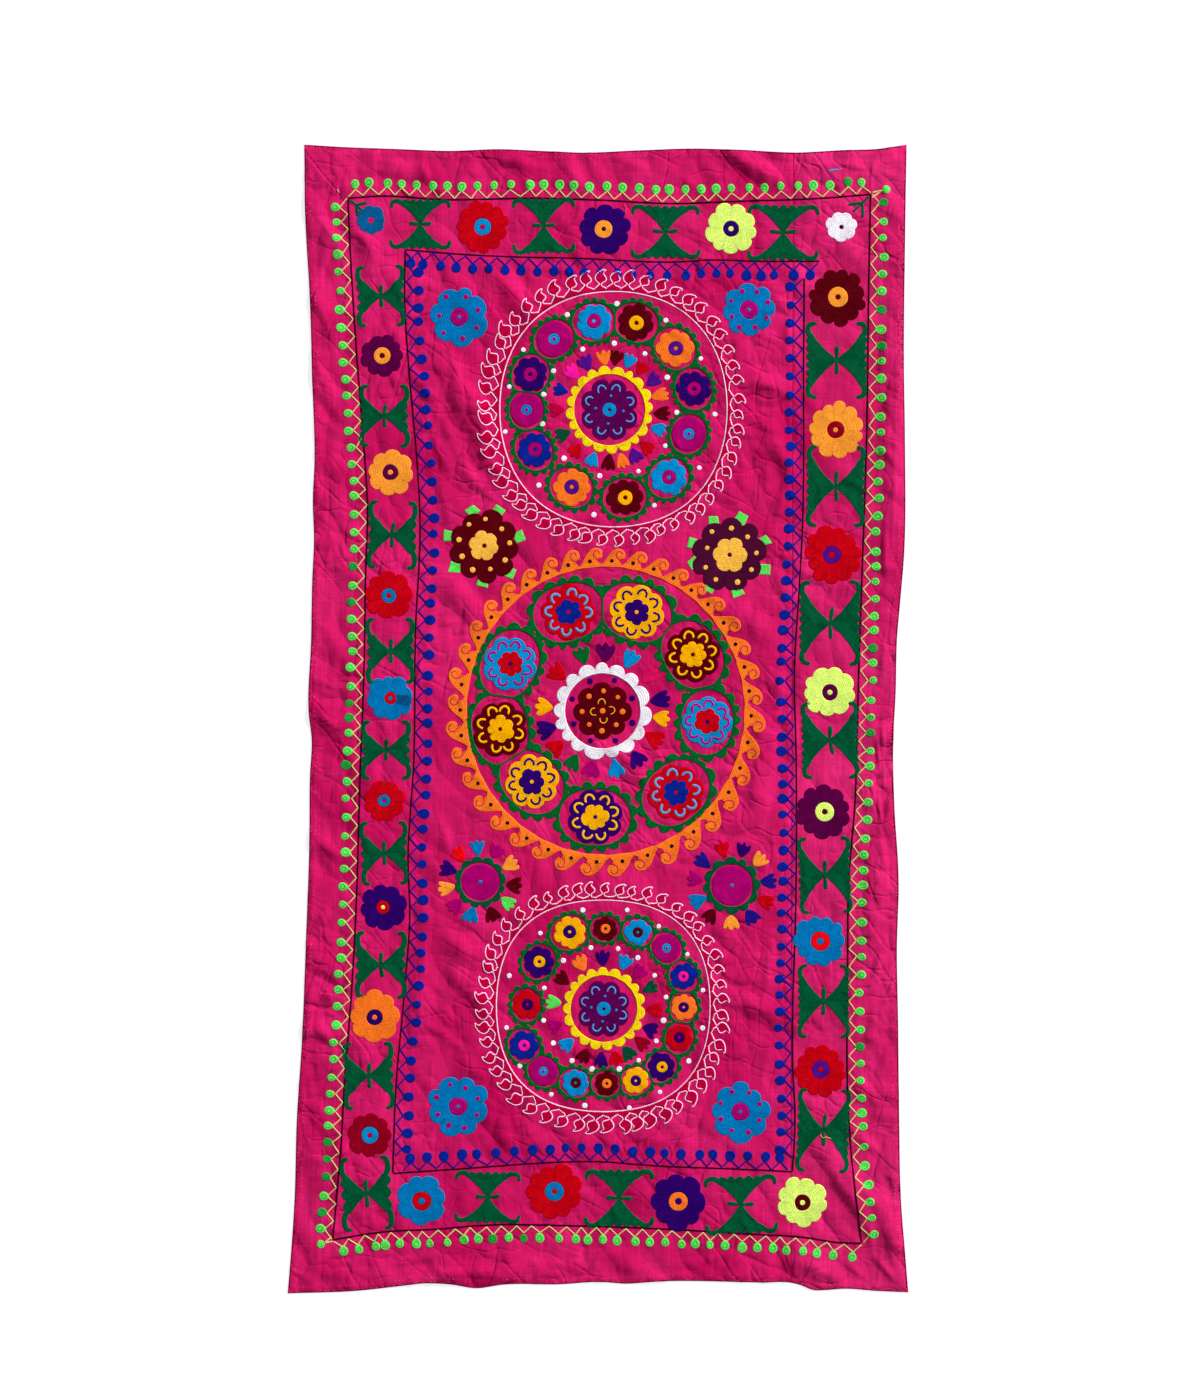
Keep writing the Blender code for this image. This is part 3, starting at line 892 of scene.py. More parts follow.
def turned(points, middle, angle):
    """Points of a motif's own frame, turned by an angle and moved to its middle."""
    cos, sin = math.cos(angle), math.sin(angle)
    points = np.asarray(points, float)
    x = points[:, 0] * cos - points[:, 1] * sin + middle[0]
    y = points[:, 0] * sin + points[:, 1] * cos + middle[1]
    return np.stack([x, y], 1)


def polar(middle, angle, reach):
    return np.array([middle[0] + reach * math.cos(angle), middle[1] + reach * math.sin(angle)])


# Motifs


ARCH = [(-0.75, -1.0), (0.1, -0.9), (0.65, -0.5), (0.82, 0), (0.65, 0.5), (0.1, 0.9), (-0.75, 1.0)]


def dot(piece, middle, radius, thread, level=0.0, step=STITCH):
    """A small round spot."""
    outline = round_ring(piece.random, middle, radius, max(10, around(radius, step)), 0.035)
    piece.patch(outline, np.array(middle), thread, level, row=max(ROW / 2, radius / 5))


def arc(piece, middle, angle, size, thread, level, width):
    """A small arch in a petal, open towards the flower's heart. size is half its span."""
    shape = [(x * size, y * size * piece.random.uniform(0.92, 1.05)) for x, y in ARCH]
    path = smooth_path(turned(shape, middle, angle + piece.random.normal(0, 0.08)), LINE_STEP)
    ends = np.minimum(np.arange(len(path)), np.arange(len(path))[::-1])
    piece.line(path, width * np.clip(0.6 + ends / 4, 0, 1), thread, level, 0.6)


def flower(piece, middle, radius, petals, base, rings, depth=0.15, level=0.0):
    """A lobed flower with round rings at its heart. rings are (radius, thread), inwards."""
    outline = lobed(piece.random, middle, radius, petals, depth + 0.02)
    heart = np.array(middle) + piece.random.normal(0, radius * 0.02, 2)
    inner = round_ring(piece.random, heart, rings[0][0], len(outline), 0.03)
    piece.patch(outline, inner, base, level)
    for (outside, thread), (inside, _) in zip(rings, rings[1:] + [(0, None)]):
        count = around(outside, STITCH * 0.8)
        rim = round_ring(piece.random, heart, outside, count, 0.03)
        if inside:
            piece.patch(rim, round_ring(piece.random, heart, inside, count, 0.03), thread, level + 0.1)
        else:
            piece.patch(rim, heart, thread, level + 0.15)


def border_flowers():
    piece = Embroidery("border_flowers", 11)
    for row in BORDER_FLOWERS:
        rings = [(row.ring_radius, row.ring), (row.dot_radius, row.dot)]
        flower(piece, (row.x, row.y), row.radius, row.petals, row.base, rings)
    darn = [(-354, 26), (-330, 21), (-325, 31), (-326, 42), (-354, 43), (-354, 26)]
    outline = even_steps(darn, TOOTH_STEP, closed=True)
    piece.patch(outline, np.array((-341.0, 33.0)), "dark_blue", 0.3)
    piece.finish()


# How fans are drawn: the share of their span that the scallops take, how many scallops there are,
# where those start along the fan, their least and greatest depth, and how full sides and curls are
FanForm = namedtuple("FanForm", "body scallops start shallow deep full")
LEFT_FANS = FanForm(0.52, 3, 0.81, 0.15, 0.19, 1.2)
ROW_FANS = FanForm(0.62, 5, 0.86, 0.11, 0.14, 1.0)
RIGHT_FANS = FanForm(0.65, 6, 0.86, 0.11, 0.14, 1.0)
SCALLOP_PLACES = (0.0, 0.12, 0.27, 0.42, 0.58, 0.73, 0.88)
CURL_PLACES = (0, 0.3, 0.6, 0.85, 1)
CURL_WIDTHS = (8, 10.5, 9.5, 8, 5)


def half_fan(piece, middle, turn, length, span, form):
    """One fan of a green motif, pointing away along the angle turn, with scallops and curls."""
    random = piece.random
    broad = form.body * span
    tips = np.linspace(-1, 1, form.scallops + 1)
    edge = []
    for low, high in zip(tips, tips[1:]):
        deep = random.uniform(form.shallow, form.deep)
        for share in SCALLOP_PLACES:
            out = form.start + deep * (1 - abs(2 * share - 1) ** 1.9)
            edge.append((length * out, broad * (low + (high - low) * share)))
    edge.append((0.86 * length, broad))
    sides = [(0.36 * length, 0.42 * form.full * broad), (0.66 * length, 0.84 * form.full * broad)]
    corners = [(0, -2), *((x, -y) for x, y in sides), *edge, *sides[::-1], (0, 2), (0, -2)]
    outline = turned(even_steps(corners, FINE_STEP, closed=True), middle, turn)
    piece.patch(outline, turned([(0.62 * length, 0.0)], middle, turn)[0], "leaf_green")
    for hand in (-1, 1):
        reach = length * random.uniform(0.97, 1.02)
        end = span * random.uniform(0.95, 1.0)
        curl = [
            (0.66 * reach, hand * 0.7 * broad),
            (0.82 * reach, hand * 0.96 * broad),
            (0.91 * reach, hand * (0.5 * broad + 0.42 * span)),
            (0.86 * reach, hand * 0.92 * span),
            (0.62 * reach, hand * end),
        ]
        path = smooth_path(turned(curl, middle, turn), OUTLINE_STEP)
        width = np.interp(np.linspace(0, 1, len(path)), CURL_PLACES, CURL_WIDTHS)
        piece.line(path, width * form.full * length / 50, "leaf_green", 0.12, rows=6)


def green_motifs():
    piece = Embroidery("green_motifs", 12)
    for row in GREEN_MOTIFS:
        middle = (row.x, row.y)
        turn = math.radians(row.turn)
        form = RIGHT_FANS if row.x > 380 else LEFT_FANS if row.x < -350 else ROW_FANS
        for way in (0, math.pi):
            half_fan(piece, middle, turn + way, row.half_length, row.half_span, form)
        for hand in (-1, 1):
            bend = piece.random.normal(0.1, 0.08)
            leaf = [(0, 0), (bend * 8, hand * 11), (bend * 18, hand * row.half_span * 0.38)]
            path = smooth_path(turned(leaf, middle, turn), OUTLINE_STEP)
            width = np.interp(np.linspace(0, 1, len(path)), (0, 0.5, 0.8, 1), (3.5, 7.5, 8, 4.5))
            piece.line(path, width, "leaf_green", 0.3, rows=4)
    piece.finish()


TULIP = [
    (-0.5, -0.1), (-0.2, -0.34), (0.1, -0.5), (0.36, -0.53), (0.44, -0.37), (0.28, -0.2),
    (0.45, -0.14), (0.54, 0.0), (0.45, 0.14), (0.28, 0.2), (0.44, 0.37), (0.36, 0.53), (0.1, 0.5),
    (-0.2, 0.34), (-0.5, 0.1),
]


def tulip(piece, middle, angle, thread, width, height):
    """A small three-lobed bud that opens along the angle."""
    size = piece.random.uniform(0.92, 1.1)
    shape = np.array(TULIP) * (height * size, width * piece.random.uniform(0.9, 1.08))
    shape += piece.random.normal(0, 0.5, shape.shape)
    path = smooth_path(turned(shape, middle, angle), OUTLINE_STEP, closed=True)
    piece.patch(path, turned([(0.02 * height, 0)], middle, angle)[0], thread)


def scalloped_ring(piece, middle, inner, base, outer, scallops, thread):
    """A band with a plain inner edge and round scallops outside."""
    count = around(outer, SMALL_STEP)
    angles = evenly(count)
    share, size = petal_share(piece.random, angles, scallops, 0.12)
    reach = base + (outer - base) * bulge(share) * size
    rim = ring_points(middle, reach * wobble(piece.random, angles, 0.006), angles)
    piece.patch(rim, round_ring(piece.random, middle, inner, count, 0.008), thread, row=FINE_ROW)


def leafy_frame(piece, middle, angle, radius, scallops, height, long, beside):
    """A scalloped ring round a flower, drawn out to points along the medallion's ring. It stops
    halfway to the flowers beside it."""
    angles = evenly(around(radius + height, 2.0))
    share, size = petal_share(piece.random, angles, scallops, 0.12)
    stretch = 1 + (long - 1) * np.abs(np.sin(angles - angle)) ** 1.8
    inner = radius * stretch * wobble(piece.random, angles, 0.01)
    reach = inner + 0.25 * height + 0.75 * height * (1 - np.abs(share) ** 2.2) * size
    for x, y in beside - middle:
        way, half = math.atan2(y, x), math.hypot(y, x) / 2
        reach = np.minimum(reach, (half + 1.5) / np.maximum(np.cos(angles - way), 0.2))
    inner = np.minimum(inner, reach - 3.2)
    rim = ring_points(middle, reach, angles)
    piece.patch(rim, ring_points(middle, inner, angles), "frame_green", row=FINE_ROW)


def spot_ring(piece, middle, radius, reach, count, first, thread, level=0.0, unevenness=2.0):
    """Dots evenly round a middle."""
    for k in range(count):
        angle = math.radians(first) + TURN * k / count + piece.random.normal(0, 0.03)
        place = polar(middle, angle, reach + piece.random.normal(0, unevenness))
        dot(piece, place, radius * piece.random.uniform(0.88, 1.12), thread, level)


def blue_flowers(piece):
    for row in BLUE_FLOWERS:
        middle = (row.x, row.y)
        outline = lobed(piece.random, middle, row.radius, row.petals, 0.2)
        piece.patch(outline, round_ring(piece.random, middle, 16, len(outline), 0.05), "blue")
        dot(piece, middle, 16, "magenta", 0.1)
        dot(piece, middle, 3.6, "blue", 0.7)
        spot_ring(piece, middle, 4.8, row.radius * 0.72, row.petals, 20, "magenta", 0.55)


SQUARE_LEAF = [(-10, -9), (10, -9), (10, 9), (-10, 9)]


def dark_flowers(piece):
    """Two dark flowers with an orange flower at the heart and green leaves between the petals."""
    for row in DARK_FLOWERS:
        middle = (row.x, row.y)
        for degrees in row.leaves:
            angle = math.radians(degrees)
            place = polar(middle, angle, row.radius * 0.99)
            corners = np.array(SQUARE_LEAF) + piece.random.normal(0, 1.3, (4, 2))
            outline = even_steps([*corners, corners[0]], OUTLINE_STEP, closed=True)
            leaf = turned(outline, place, angle + piece.random.normal(0, 0.3))
            piece.patch(leaf, np.array(place), "bright_green")
        outline = lobed(piece.random, middle, row.radius, row.petals, 0.2)
        inner = round_ring(piece.random, middle, row.heart_radius * 0.8, len(outline))
        piece.patch(outline, inner, row.base, 0.45)
        heart = lobed(piece.random, middle, row.heart_radius, 6, 0.22, SMALL_STEP)
        piece.patch(heart, round_ring(piece.random, middle, 4, len(heart)), "amber", 0.8)
        dot(piece, middle, 4.2, row.base, 0.9)
        spot_ring(piece, middle, 5, row.radius * 0.7, row.petals, 45, "amber", 1.0)


def tulip_discs(piece):
    for row in TULIP_DISCS:
        middle = (row.x, row.y)
        rim = round_ring(piece.random, middle, row.disc_radius, around(row.disc_radius, STITCH))
        piece.patch(rim, np.array(middle), "magenta")
        dot(piece, middle, 3.6, "blue", 0.6)
        inner, base = row.disc_radius + 2.5, row.disc_radius + 6
        scalloped_ring(piece, middle, inner, base, row.ring_radius, 12, "leaf_green")
        threads = row.tulips.split()
        for k, thread in enumerate(threads):
            angle = math.radians(row.first_angle - 360 * k / len(threads))
            angle += piece.random.normal(0, 0.03)
            tulip(piece, polar(middle, angle, row.ring_radius + 14), angle, thread, 26, 28)


def field_motifs():
    piece = Embroidery("field_motifs", 13)
    blue_flowers(piece)
    dark_flowers(piece)
    tulip_discs(piece)
    piece.finish()


class Rim:
    """Places round a medallion's circle: along its line clockwise, and out from it."""

    def __init__(self, row):
        self.row = row
        self.radius = (row.radius_x + row.radius_y) / 2

    def place(self, angle, along, out):
        angle = angle - along / self.radius
        swell = 1 + self.row.corners * np.sin(2 * angle) ** 2
        x = self.row.x + (self.row.radius_x * swell + out) * np.cos(angle)
        y = self.row.y + (self.row.radius_y * swell + out) * np.sin(angle)
        return x, y

    def bend(self, angle, points):
        """Points drawn along and out from the line at an angle, laid round it."""
        return np.stack(self.place(angle, points[:, 0], points[:, 1]), 1)

    def circle(self, random, step, unevenness, out=0.0):
        angles = evenly(around(self.radius, step))
        out = out + self.radius * (wobble(random, angles, unevenness) - 1)
        return np.stack(self.place(angles, 0, out), 1)


LEAF_BACK = [
    (-1.2, 0.9), (-4.7, 4.4), (-7.1, 9.2), (-7.1, 14.1), (-4.7, 19), (-0.8, 22.8), (5, 26.2),
    (9.4, 27.5), (13, 26.6),
]
LEAF_FRONT = [
    (13, 26.6), (10.2, 23.8), (8.2, 20.6), (9.9, 16), (12.2, 11.4), (12.4, 7.4), (10.6, 4.6),
    (7.4, 2.9), (3.8, 1.2), (1.3, -1.4),
]


def leaf_border(piece, row, leaves, first, size_at, fattest):
    """The white chain line of a medallion, with its crimson teeth and leaning leaves. The leaves
    are largest at the angle fattest, where they are size_at times the drawn one."""
    rim = Rim(row)
    piece.line(rim.circle(piece.random, LINE_STEP, 0.002), 2.3, "blush", 0.15, 0.55, closed=True)
    steps = 1 + piece.random.normal(0, 0.09, leaves)
    angles = math.radians(first) - np.cumsum(steps) / steps.sum() * TURN
    for k in range(leaves):
        angle = angles[k]
        left = -((angles[k - 1] - angle) % TURN) * rim.radius * 0.52
        right = ((angle - angles[(k + 1) % leaves]) % TURN) * rim.radius * 0.48
        bulk = size_at * (0.8 + 0.1 * math.cos(angle - math.radians(fattest)))
        size = bulk * piece.random.uniform(0.86, 1.1)
        neck = 17.5 * bulk + piece.random.normal(0, 0.8)
        foot = 5.5 + piece.random.normal(0, 0.6)
        lean = piece.random.normal(-0.04, 0.13)
        back, front = (
            smooth_path(turned(np.array(side) * size, (0, neck), lean), LINE_STEP)
            for side in (LEAF_BACK, LEAF_FRONT)
        )
        first_leg = even_steps([(left, foot), (left * 0.3, neck - 3), back[0]], LINE_STEP)
        last_leg = even_steps([front[-1], (right * 0.25, neck - 4.5), (right, foot)], LINE_STEP)
        outline = np.vstack([first_leg[:-1], back[:-1], front[:-1], last_leg])
        piece.line(rim.bend(angle, outline), 2.0, "blush", 0.5, 0.5)
        tooth = np.array([(right, 1), (left, 1), (left, foot), (0, neck), (right, foot), (right, 1)])
        outline = anticlockwise(even_steps(rim.bend(angle, tooth), TOOTH_STEP, closed=True))
        piece.patch(outline, rim.bend(angle, np.array([(0, neck * 0.4)]))[0], "crimson")
        leaf = rim.bend(angle, np.vstack([back[:-1], front, back[:1]]))
        outline = anticlockwise(even_steps(leaf, FINE_STEP, closed=True))
        heart = rim.bend(angle, turned([(1.5 * size, 12.5 * size)], (0, neck), lean))[0]
        piece.patch(outline, heart, "crimson", 0.2)


def anticlockwise(outline):
    """The outline, turned round if it runs clockwise."""
    x, y = outline.T
    area = (x * np.roll(y, -1) - np.roll(x, -1) * y).sum()
    return outline if area > 0 else outline[::-1]


def centre_flower(piece, middle, radius):
    """The purple flower with blue arches of the upper and lower medallions."""
    outline = lobed(piece.random, middle, radius, 8, 0.2, STITCH, 0.0)
    outline = middle + (outline - middle) * (0.96, 1.05)
    inner = round_ring(piece.random, middle, 12, len(outline), 0.03)
    piece.patch(outline, inner, "purple")
    rim = round_ring(piece.random, middle, 12.8, 30, 0.05)
    piece.patch(rim, round_ring(piece.random, middle, 3, 30), "sky", 0.2)
    dot(piece, middle, 3.4, "maroon", 0.2)
    for k in range(8):
        angle = TURN * (k + 0.5) / 8 + piece.random.normal(0, 0.04)
        arc(piece, polar(middle, angle, radius * 0.74), angle, 7.2, "light_blue", 0.75, 3.2)
    for k in range(4):
        angle = TURN * k / 4 - 0.1
        dot(piece, polar(middle, angle, radius * 0.46), 2.6, "sky", 0.7)


def framed_places(row, framed):
    """Each framed flower of a medallion, with its middle and those of the two beside it."""
    middles = [polar(row.heart, math.radians(item.angle), item.reach) for item in framed]
    for k, item in enumerate(framed):
        yield item, middles[k], np.array([middles[k - 1], middles[(k + 1) % len(middles)]])


def framed_flowers(piece, row, framed, scallops, height):
    """The ring of flowers in leafy frames."""
    for item, middle, beside in framed_places(row, framed):
        angle = math.radians(item.angle)
        leafy_frame(piece, middle, angle, item.radius + 0.5, scallops, height, 1.16, beside)
        ring = item.radius * 0.4
        if item.base == "magenta":
            count = around(item.radius, STITCH)
            rim = round_ring(piece.random, middle, item.radius, count, 0.03)
            piece.patch(rim, round_ring(piece.random, middle, ring * 0.8, count), item.base, 0.3)
            dot(piece, middle, ring * 0.85, item.ring, 0.4)
            dot(piece, middle, ring * 0.35, item.dot, 0.9)
        else:
            rings = [(ring, item.ring), (ring * 0.3, item.dot)]
            petals = 8 if item.radius > 28 else 7
            flower(piece, middle, item.radius, petals, item.base, rings, 0.18, 0.3)


def white_dots(piece, row, framed, outer, inner):
    """A pair of white dots between each two frames."""
    angles = sorted(item.angle for item in framed)
    for first, second in zip(angles, angles[1:] + [angles[0] + 360]):
        angle = math.radians((first + second) / 2) + piece.random.normal(0, 0.02)
        for reach in (outer, inner):
            place = polar(row.heart, angle, reach + piece.random.normal(0, 2))
            dot(piece, place, 4.6 * piece.random.uniform(0.9, 1.15), "white", 0.2, 2.2)


def tulip_ring(piece, row, tulips, reach, width, height):
    for item in tulips:
        angle = math.radians(item.angle)
        lean = angle + piece.random.normal(0, 0.06)
        tulip(piece, polar(row.heart, angle, reach), lean, item.thread, width, height)


def leafy_medallion(name, seed, row, framed, tulips, leaves, frames, dots, buds, ring, heart_radius):
    """The upper or lower medallion: its leaf border, framed flowers, dots, buds and heart."""
    piece = Embroidery(name, seed)
    leaf_border(piece, row, *leaves)
    framed_flowers(piece, row, framed, *frames)
    white_dots(piece, row, framed, *dots)
    tulip_ring(piece, row, tulips, *buds)
    scalloped_ring(piece, row.heart, *ring, "lemon")
    centre_flower(piece, np.array(row.heart), heart_radius)
    piece.finish()


def top_medallion():
    leafy_medallion(
        "top_medallion", 21, TOP_MEDALLION, TOP_FRAMED, TOP_TULIPS, leaves=(53, 90, 1.0, 165),
        frames=(16, 11), dots=(185, 117), buds=(92, 24, 27), ring=(62, 65, 77, 20), heart_radius=53,
    )


def bottom_medallion():
    leafy_medallion(
        "bottom_medallion", 23, BOTTOM_MEDALLION, BOTTOM_FRAMED, BOTTOM_TULIPS,
        leaves=(50, 90, 0.98, 250), frames=(13, 9.5), dots=(175, 108), buds=(89, 25, 26),
        ring=(58, 61, 73, 19), heart_radius=48,
    )


WAVE = [
    (-17.5, -1), (-11, 9), (-4.5, 18), (2, 25.8), (8, 30.5), (14.5, 32.2), (20.5, 30.8),
    (25, 26.8), (26.8, 21.2), (25.6, 16), (22.2, 13.2), (18.4, 13.4), (17.6, 9), (20.4, 4.4),
    (23.8, -1),
]
WAVE_CURL = [
    (20.6, 10.4), (16.4, 12.6), (12, 16), (10.4, 21), (12.6, 25.8), (17, 27), (20.6, 24.2),
    (20.2, 20.4),
]
WAVE_PITCH = 41.0
WAVES = 38
# The angles in degrees at which some of the waves start
WAVE_MARKS = [
    (0, 88), (5, 45.7), (10, -1.2), (15, -52.3), (20, -103), (25, -150.7), (30, -199.2), (35, -246),
    (38, -272),
]


def wave_border(piece, row):
    """The orange waves that run round the middle medallion, each with its curl and dark dot."""
    rim = Rim(row)
    places = np.interp(np.arange(WAVES + 1), *zip(*WAVE_MARKS))
    outside, inside = (rim.circle(piece.random, 3.0, 0.0, out) for out in (2.0, -2.0))
    piece.patch(outside, inside, "orange", row=1.8)
    for k in range(WAVES):
        angle = math.radians(places[k])
        pitch = math.radians(places[k] - places[k + 1]) * rim.radius
        wide = pitch / WAVE_PITCH
        high = (0.35 + 0.65 * wide) * piece.random.uniform(0.96, 1.14)
        outline = [(x * wide + piece.random.normal(0, 0.4), y * high) for x, y in WAVE]
        path = smooth_path([rim.place(angle, *point) for point in outline], OUTLINE_STEP, closed=True)
        heart = np.array(rim.place(angle, 8 * wide, 16 * high))
        piece.patch(anticlockwise(path), heart, "orange", 0.1)
        curl = [rim.place(angle, x * wide, y * high) for x, y in WAVE_CURL]
        piece.line(smooth_path(curl, LINE_STEP), 2.6, "wave_pink", 0.75, 0.6)
        dot(piece, rim.place(angle, 2.5 * wide, 9.2 * high), 3.8, "black", 0.8)


def petalled_hearts(piece, row, framed):
    """The nine large flowers: petals with arches, and a small flower at each heart."""
    for item, middle, beside in framed_places(row, framed):
        leafy_frame(piece, middle, math.radians(item.angle), item.radius, 16, 14.5, 1.27, beside)
        phase = piece.random.uniform(0, TURN)
        outline = lobed(piece.random, middle, item.radius, 8, 0.17, STITCH, phase)
        piece.patch(outline, round_ring(piece.random, middle, 17, len(outline)), item.base, 0.3)
        petals = int(piece.random.integers(6, 8))
        small = lobed(piece.random, middle, 24, petals, 0.27, SMALL_STEP)
        piece.patch(small, round_ring(piece.random, middle, 3.6, len(small)), item.ring, 0.7)
        dot(piece, middle, 4.2, "indigo" if item.base == "sky" else item.base, 0.9)
        for petal in range(8):
            bearing = phase + TURN * (petal + 0.5) / 8 + piece.random.normal(0, 0.04)
            place = polar(middle, bearing, item.radius * 0.7)
            arc(piece, place, bearing, 8.0, item.dot, 1.2, 4.6)


def middle_medallion():
    piece = Embroidery("middle_medallion", 22)
    row = MIDDLE_MEDALLION
    wave_border(piece, row)
    petalled_hearts(piece, row, MIDDLE_FRAMED)
    tulip_ring(piece, row, MIDDLE_TULIPS, 103, 30, 31)
    heart = row.heart
    scalloped_ring(piece, heart, 65.5, 72, 86, 16, "white")
    outline = lobed(piece.random, heart, 51, 8, 0.2, STITCH, 1.178)
    piece.patch(outline, np.array(heart), "maroon")
    spot_ring(piece, heart, 5.0, 35, 8, 90, "orange", 0.6, 1.2)
    dot(piece, heart, 5.5, "orange", 0.6)
    for k in range(4):
        bearing = TURN * k / 4 + 0.1
        arc(piece, polar(heart, bearing, 16), bearing, 6.5, "yellow", 0.7, 2.2)
    spot_ring(piece, heart, 5.6, 56.5, 8, 23, "indigo", 0.0, 0.8)
    piece.finish()


# Borders


class Side:
    """One side of a border as a line that can be read by its distance, with places beside it."""

    def __init__(self, points, upright):
        along = np.linspace(points[0][0], points[-1][0], 600)
        across = through(points, along)
        self.path = np.stack([across, along] if upright else [along, across], 1)
        self.gone = distances(self.path)
        self.length = self.gone[-1]
        ahead = np.gradient(self.path, axis=0)
        self.left = np.stack([-ahead[:, 1], ahead[:, 0]], 1) / np.hypot(*ahead.T)[:, None]

    def at(self, distance, beside=0.0):
        point = [np.interp(distance, self.gone, self.path[:, i]) for i in (0, 1)]
        left = [np.interp(distance, self.gone, self.left[:, i]) for i in (0, 1)]
        return np.array([point[0] + left[0] * beside, point[1] + left[1] * beside])


# A border's zigzag: its threads, the height of its peaks, the reach and radius of its dots, and
# the widths of the zigzag and of the black line. A coiled one has a darker ring on each dot
Zigzag = namedtuple("Zigzag", "line dot dark depth reach radius width under coiled")
OUTER_ZIGZAG = Zigzag("pale_green", "bright_green", "mid_green", 15.5, 24, 7.8, 2.4, 3.1, True)
INNER_ZIGZAG = Zigzag("navy", "royal", "royal", 16, 24.5, 8.4, 2.9, 2.9, False)
DARK_DOTS = 0.12


def zigzag_side(lines, dots, style, side, teeth, hand, trims=(0, 0)):
    """A drawn line with a zigzag that stands on it, and a dot at each peak. hand is 1 to the
    left, and trims are how far short of the line's ends the zigzag stays."""
    random = lines.random
    lines.line(even_steps(side.path, BORDER_STEP), style.under, "black")
    steps = 1 + random.normal(0, 0.08, teeth)
    ends = np.concatenate([[0], np.cumsum(steps)]) / steps.sum()
    ends = trims[0] + ends * (side.length - trims[0] - trims[1])
    corners = []
    for k in range(teeth):
        peak = (ends[k] + ends[k + 1]) / 2 + random.normal(0, 1.5)
        height = style.depth + random.normal(0, 0.8)
        corners.append(side.at(ends[k], hand * (2.4 + random.normal(0, 0.5))))
        corners.append(side.at(peak, hand * height))
        out = side.at(peak + random.normal(0, 0.8), hand * (style.reach + random.normal(0, 0.9)))
        size = style.radius * random.uniform(0.86, 1.12)
        dark = random.random() < DARK_DOTS and k > 0
        teardrop(dots, out, side.at(peak, hand * height), size, style.dark if dark else style.dot)
        if style.coiled and not dark:
            coil = round_ring(random, out, size * 0.48, 12, 0.06)
            dots.line(coil, 1.3, style.dark, 0.35, closed=True)
    corners = np.array([*corners, side.at(ends[-1], hand * 2.4)])
    share = np.linspace(0, 1, 13)[:-1, None]
    legs = [start + (end - start) * share for start, end in zip(corners, corners[1:])]
    lines.line(np.vstack([*legs, corners[-1:]]), style.width, style.line, 0.05)


def teardrop(piece, middle, tip, radius, thread):
    """A dot drawn out a little towards the peak that it stands on."""
    way = math.atan2(tip[1] - middle[1], tip[0] - middle[0])
    angles = way + evenly(14)
    reach = radius * (1 + 0.3 * np.maximum(0, np.cos(angles - way)) ** 6)
    outline = ring_points(middle, reach * wobble(piece.random, angles, 0.03), angles)
    piece.patch(outline, np.array(middle), thread, 0.1, row=2.0)


def borders():
    lines = Embroidery("border_lines", 31)
    dots = Embroidery("border_dots", 32)
    for points, upright, teeth, hand in (
        (OUTER_TOP, False, 33, 1),
        (OUTER_RIGHT, True, 61, -1),
        (OUTER_BOTTOM, False, 34, -1),
        (OUTER_LEFT, True, 61, 1),
    ):
        zigzag_side(lines, dots, OUTER_ZIGZAG, Side(points, upright), teeth, hand)
    for points, upright, teeth, hand, trims in (
        (INNER_TOP, False, 26, -1, (0, 2)),
        (INNER_RIGHT, True, 52, 1, (24, 2)),
        (INNER_BOTTOM, False, 23, 1, (18, 8)),
        (INNER_LEFT, True, 51, -1, (30, 22)),
    ):
        zigzag_side(lines, dots, INNER_ZIGZAG, Side(points, upright), teeth, hand, trims)
    for middle in ((-485, -919), (504, 926)):
        dot(dots, middle, 7.5, "bright_green")
    for legs in (((479, 912), (497, 925), (480, 921)), ((-466, -906), (-479, -917), (-464, -914))):
        lines.line(even_steps(legs, BORDER_STEP), 3.0, "pale_green", 0.05)
    lines.finish()
    dots.finish()


# The cloth itself


def grid_places(length, first_band, last_band, crisp=0.0):
    """Places across a panel: its edges, the steps of its raised bands, and even cells between,
    half as wide in the crisp stretch before the last band."""
    start, end = first_band + STEP_WIDTH, length - last_band - STEP_WIDTH
    count = 2 * round((end - crisp - start) / CELL / 2)
    between = np.linspace(start, end - crisp, count + 1)
    if crisp:
        fine = np.linspace(end - crisp, end, 2 * round(crisp / CELL) + 1)
        between = np.concatenate([between[:-1], fine])
    near, far = [0, EDGE_WIDTH, first_band], [length - last_band, length - EDGE_WIDTH, length]
    return np.concatenate([near, between, far])


def cells(n_rows, n_columns):
    """The first corner of each cell of a grid of points."""
    return (np.arange(n_rows - 1)[:, None] * n_columns + np.arange(n_columns - 1)).ravel()


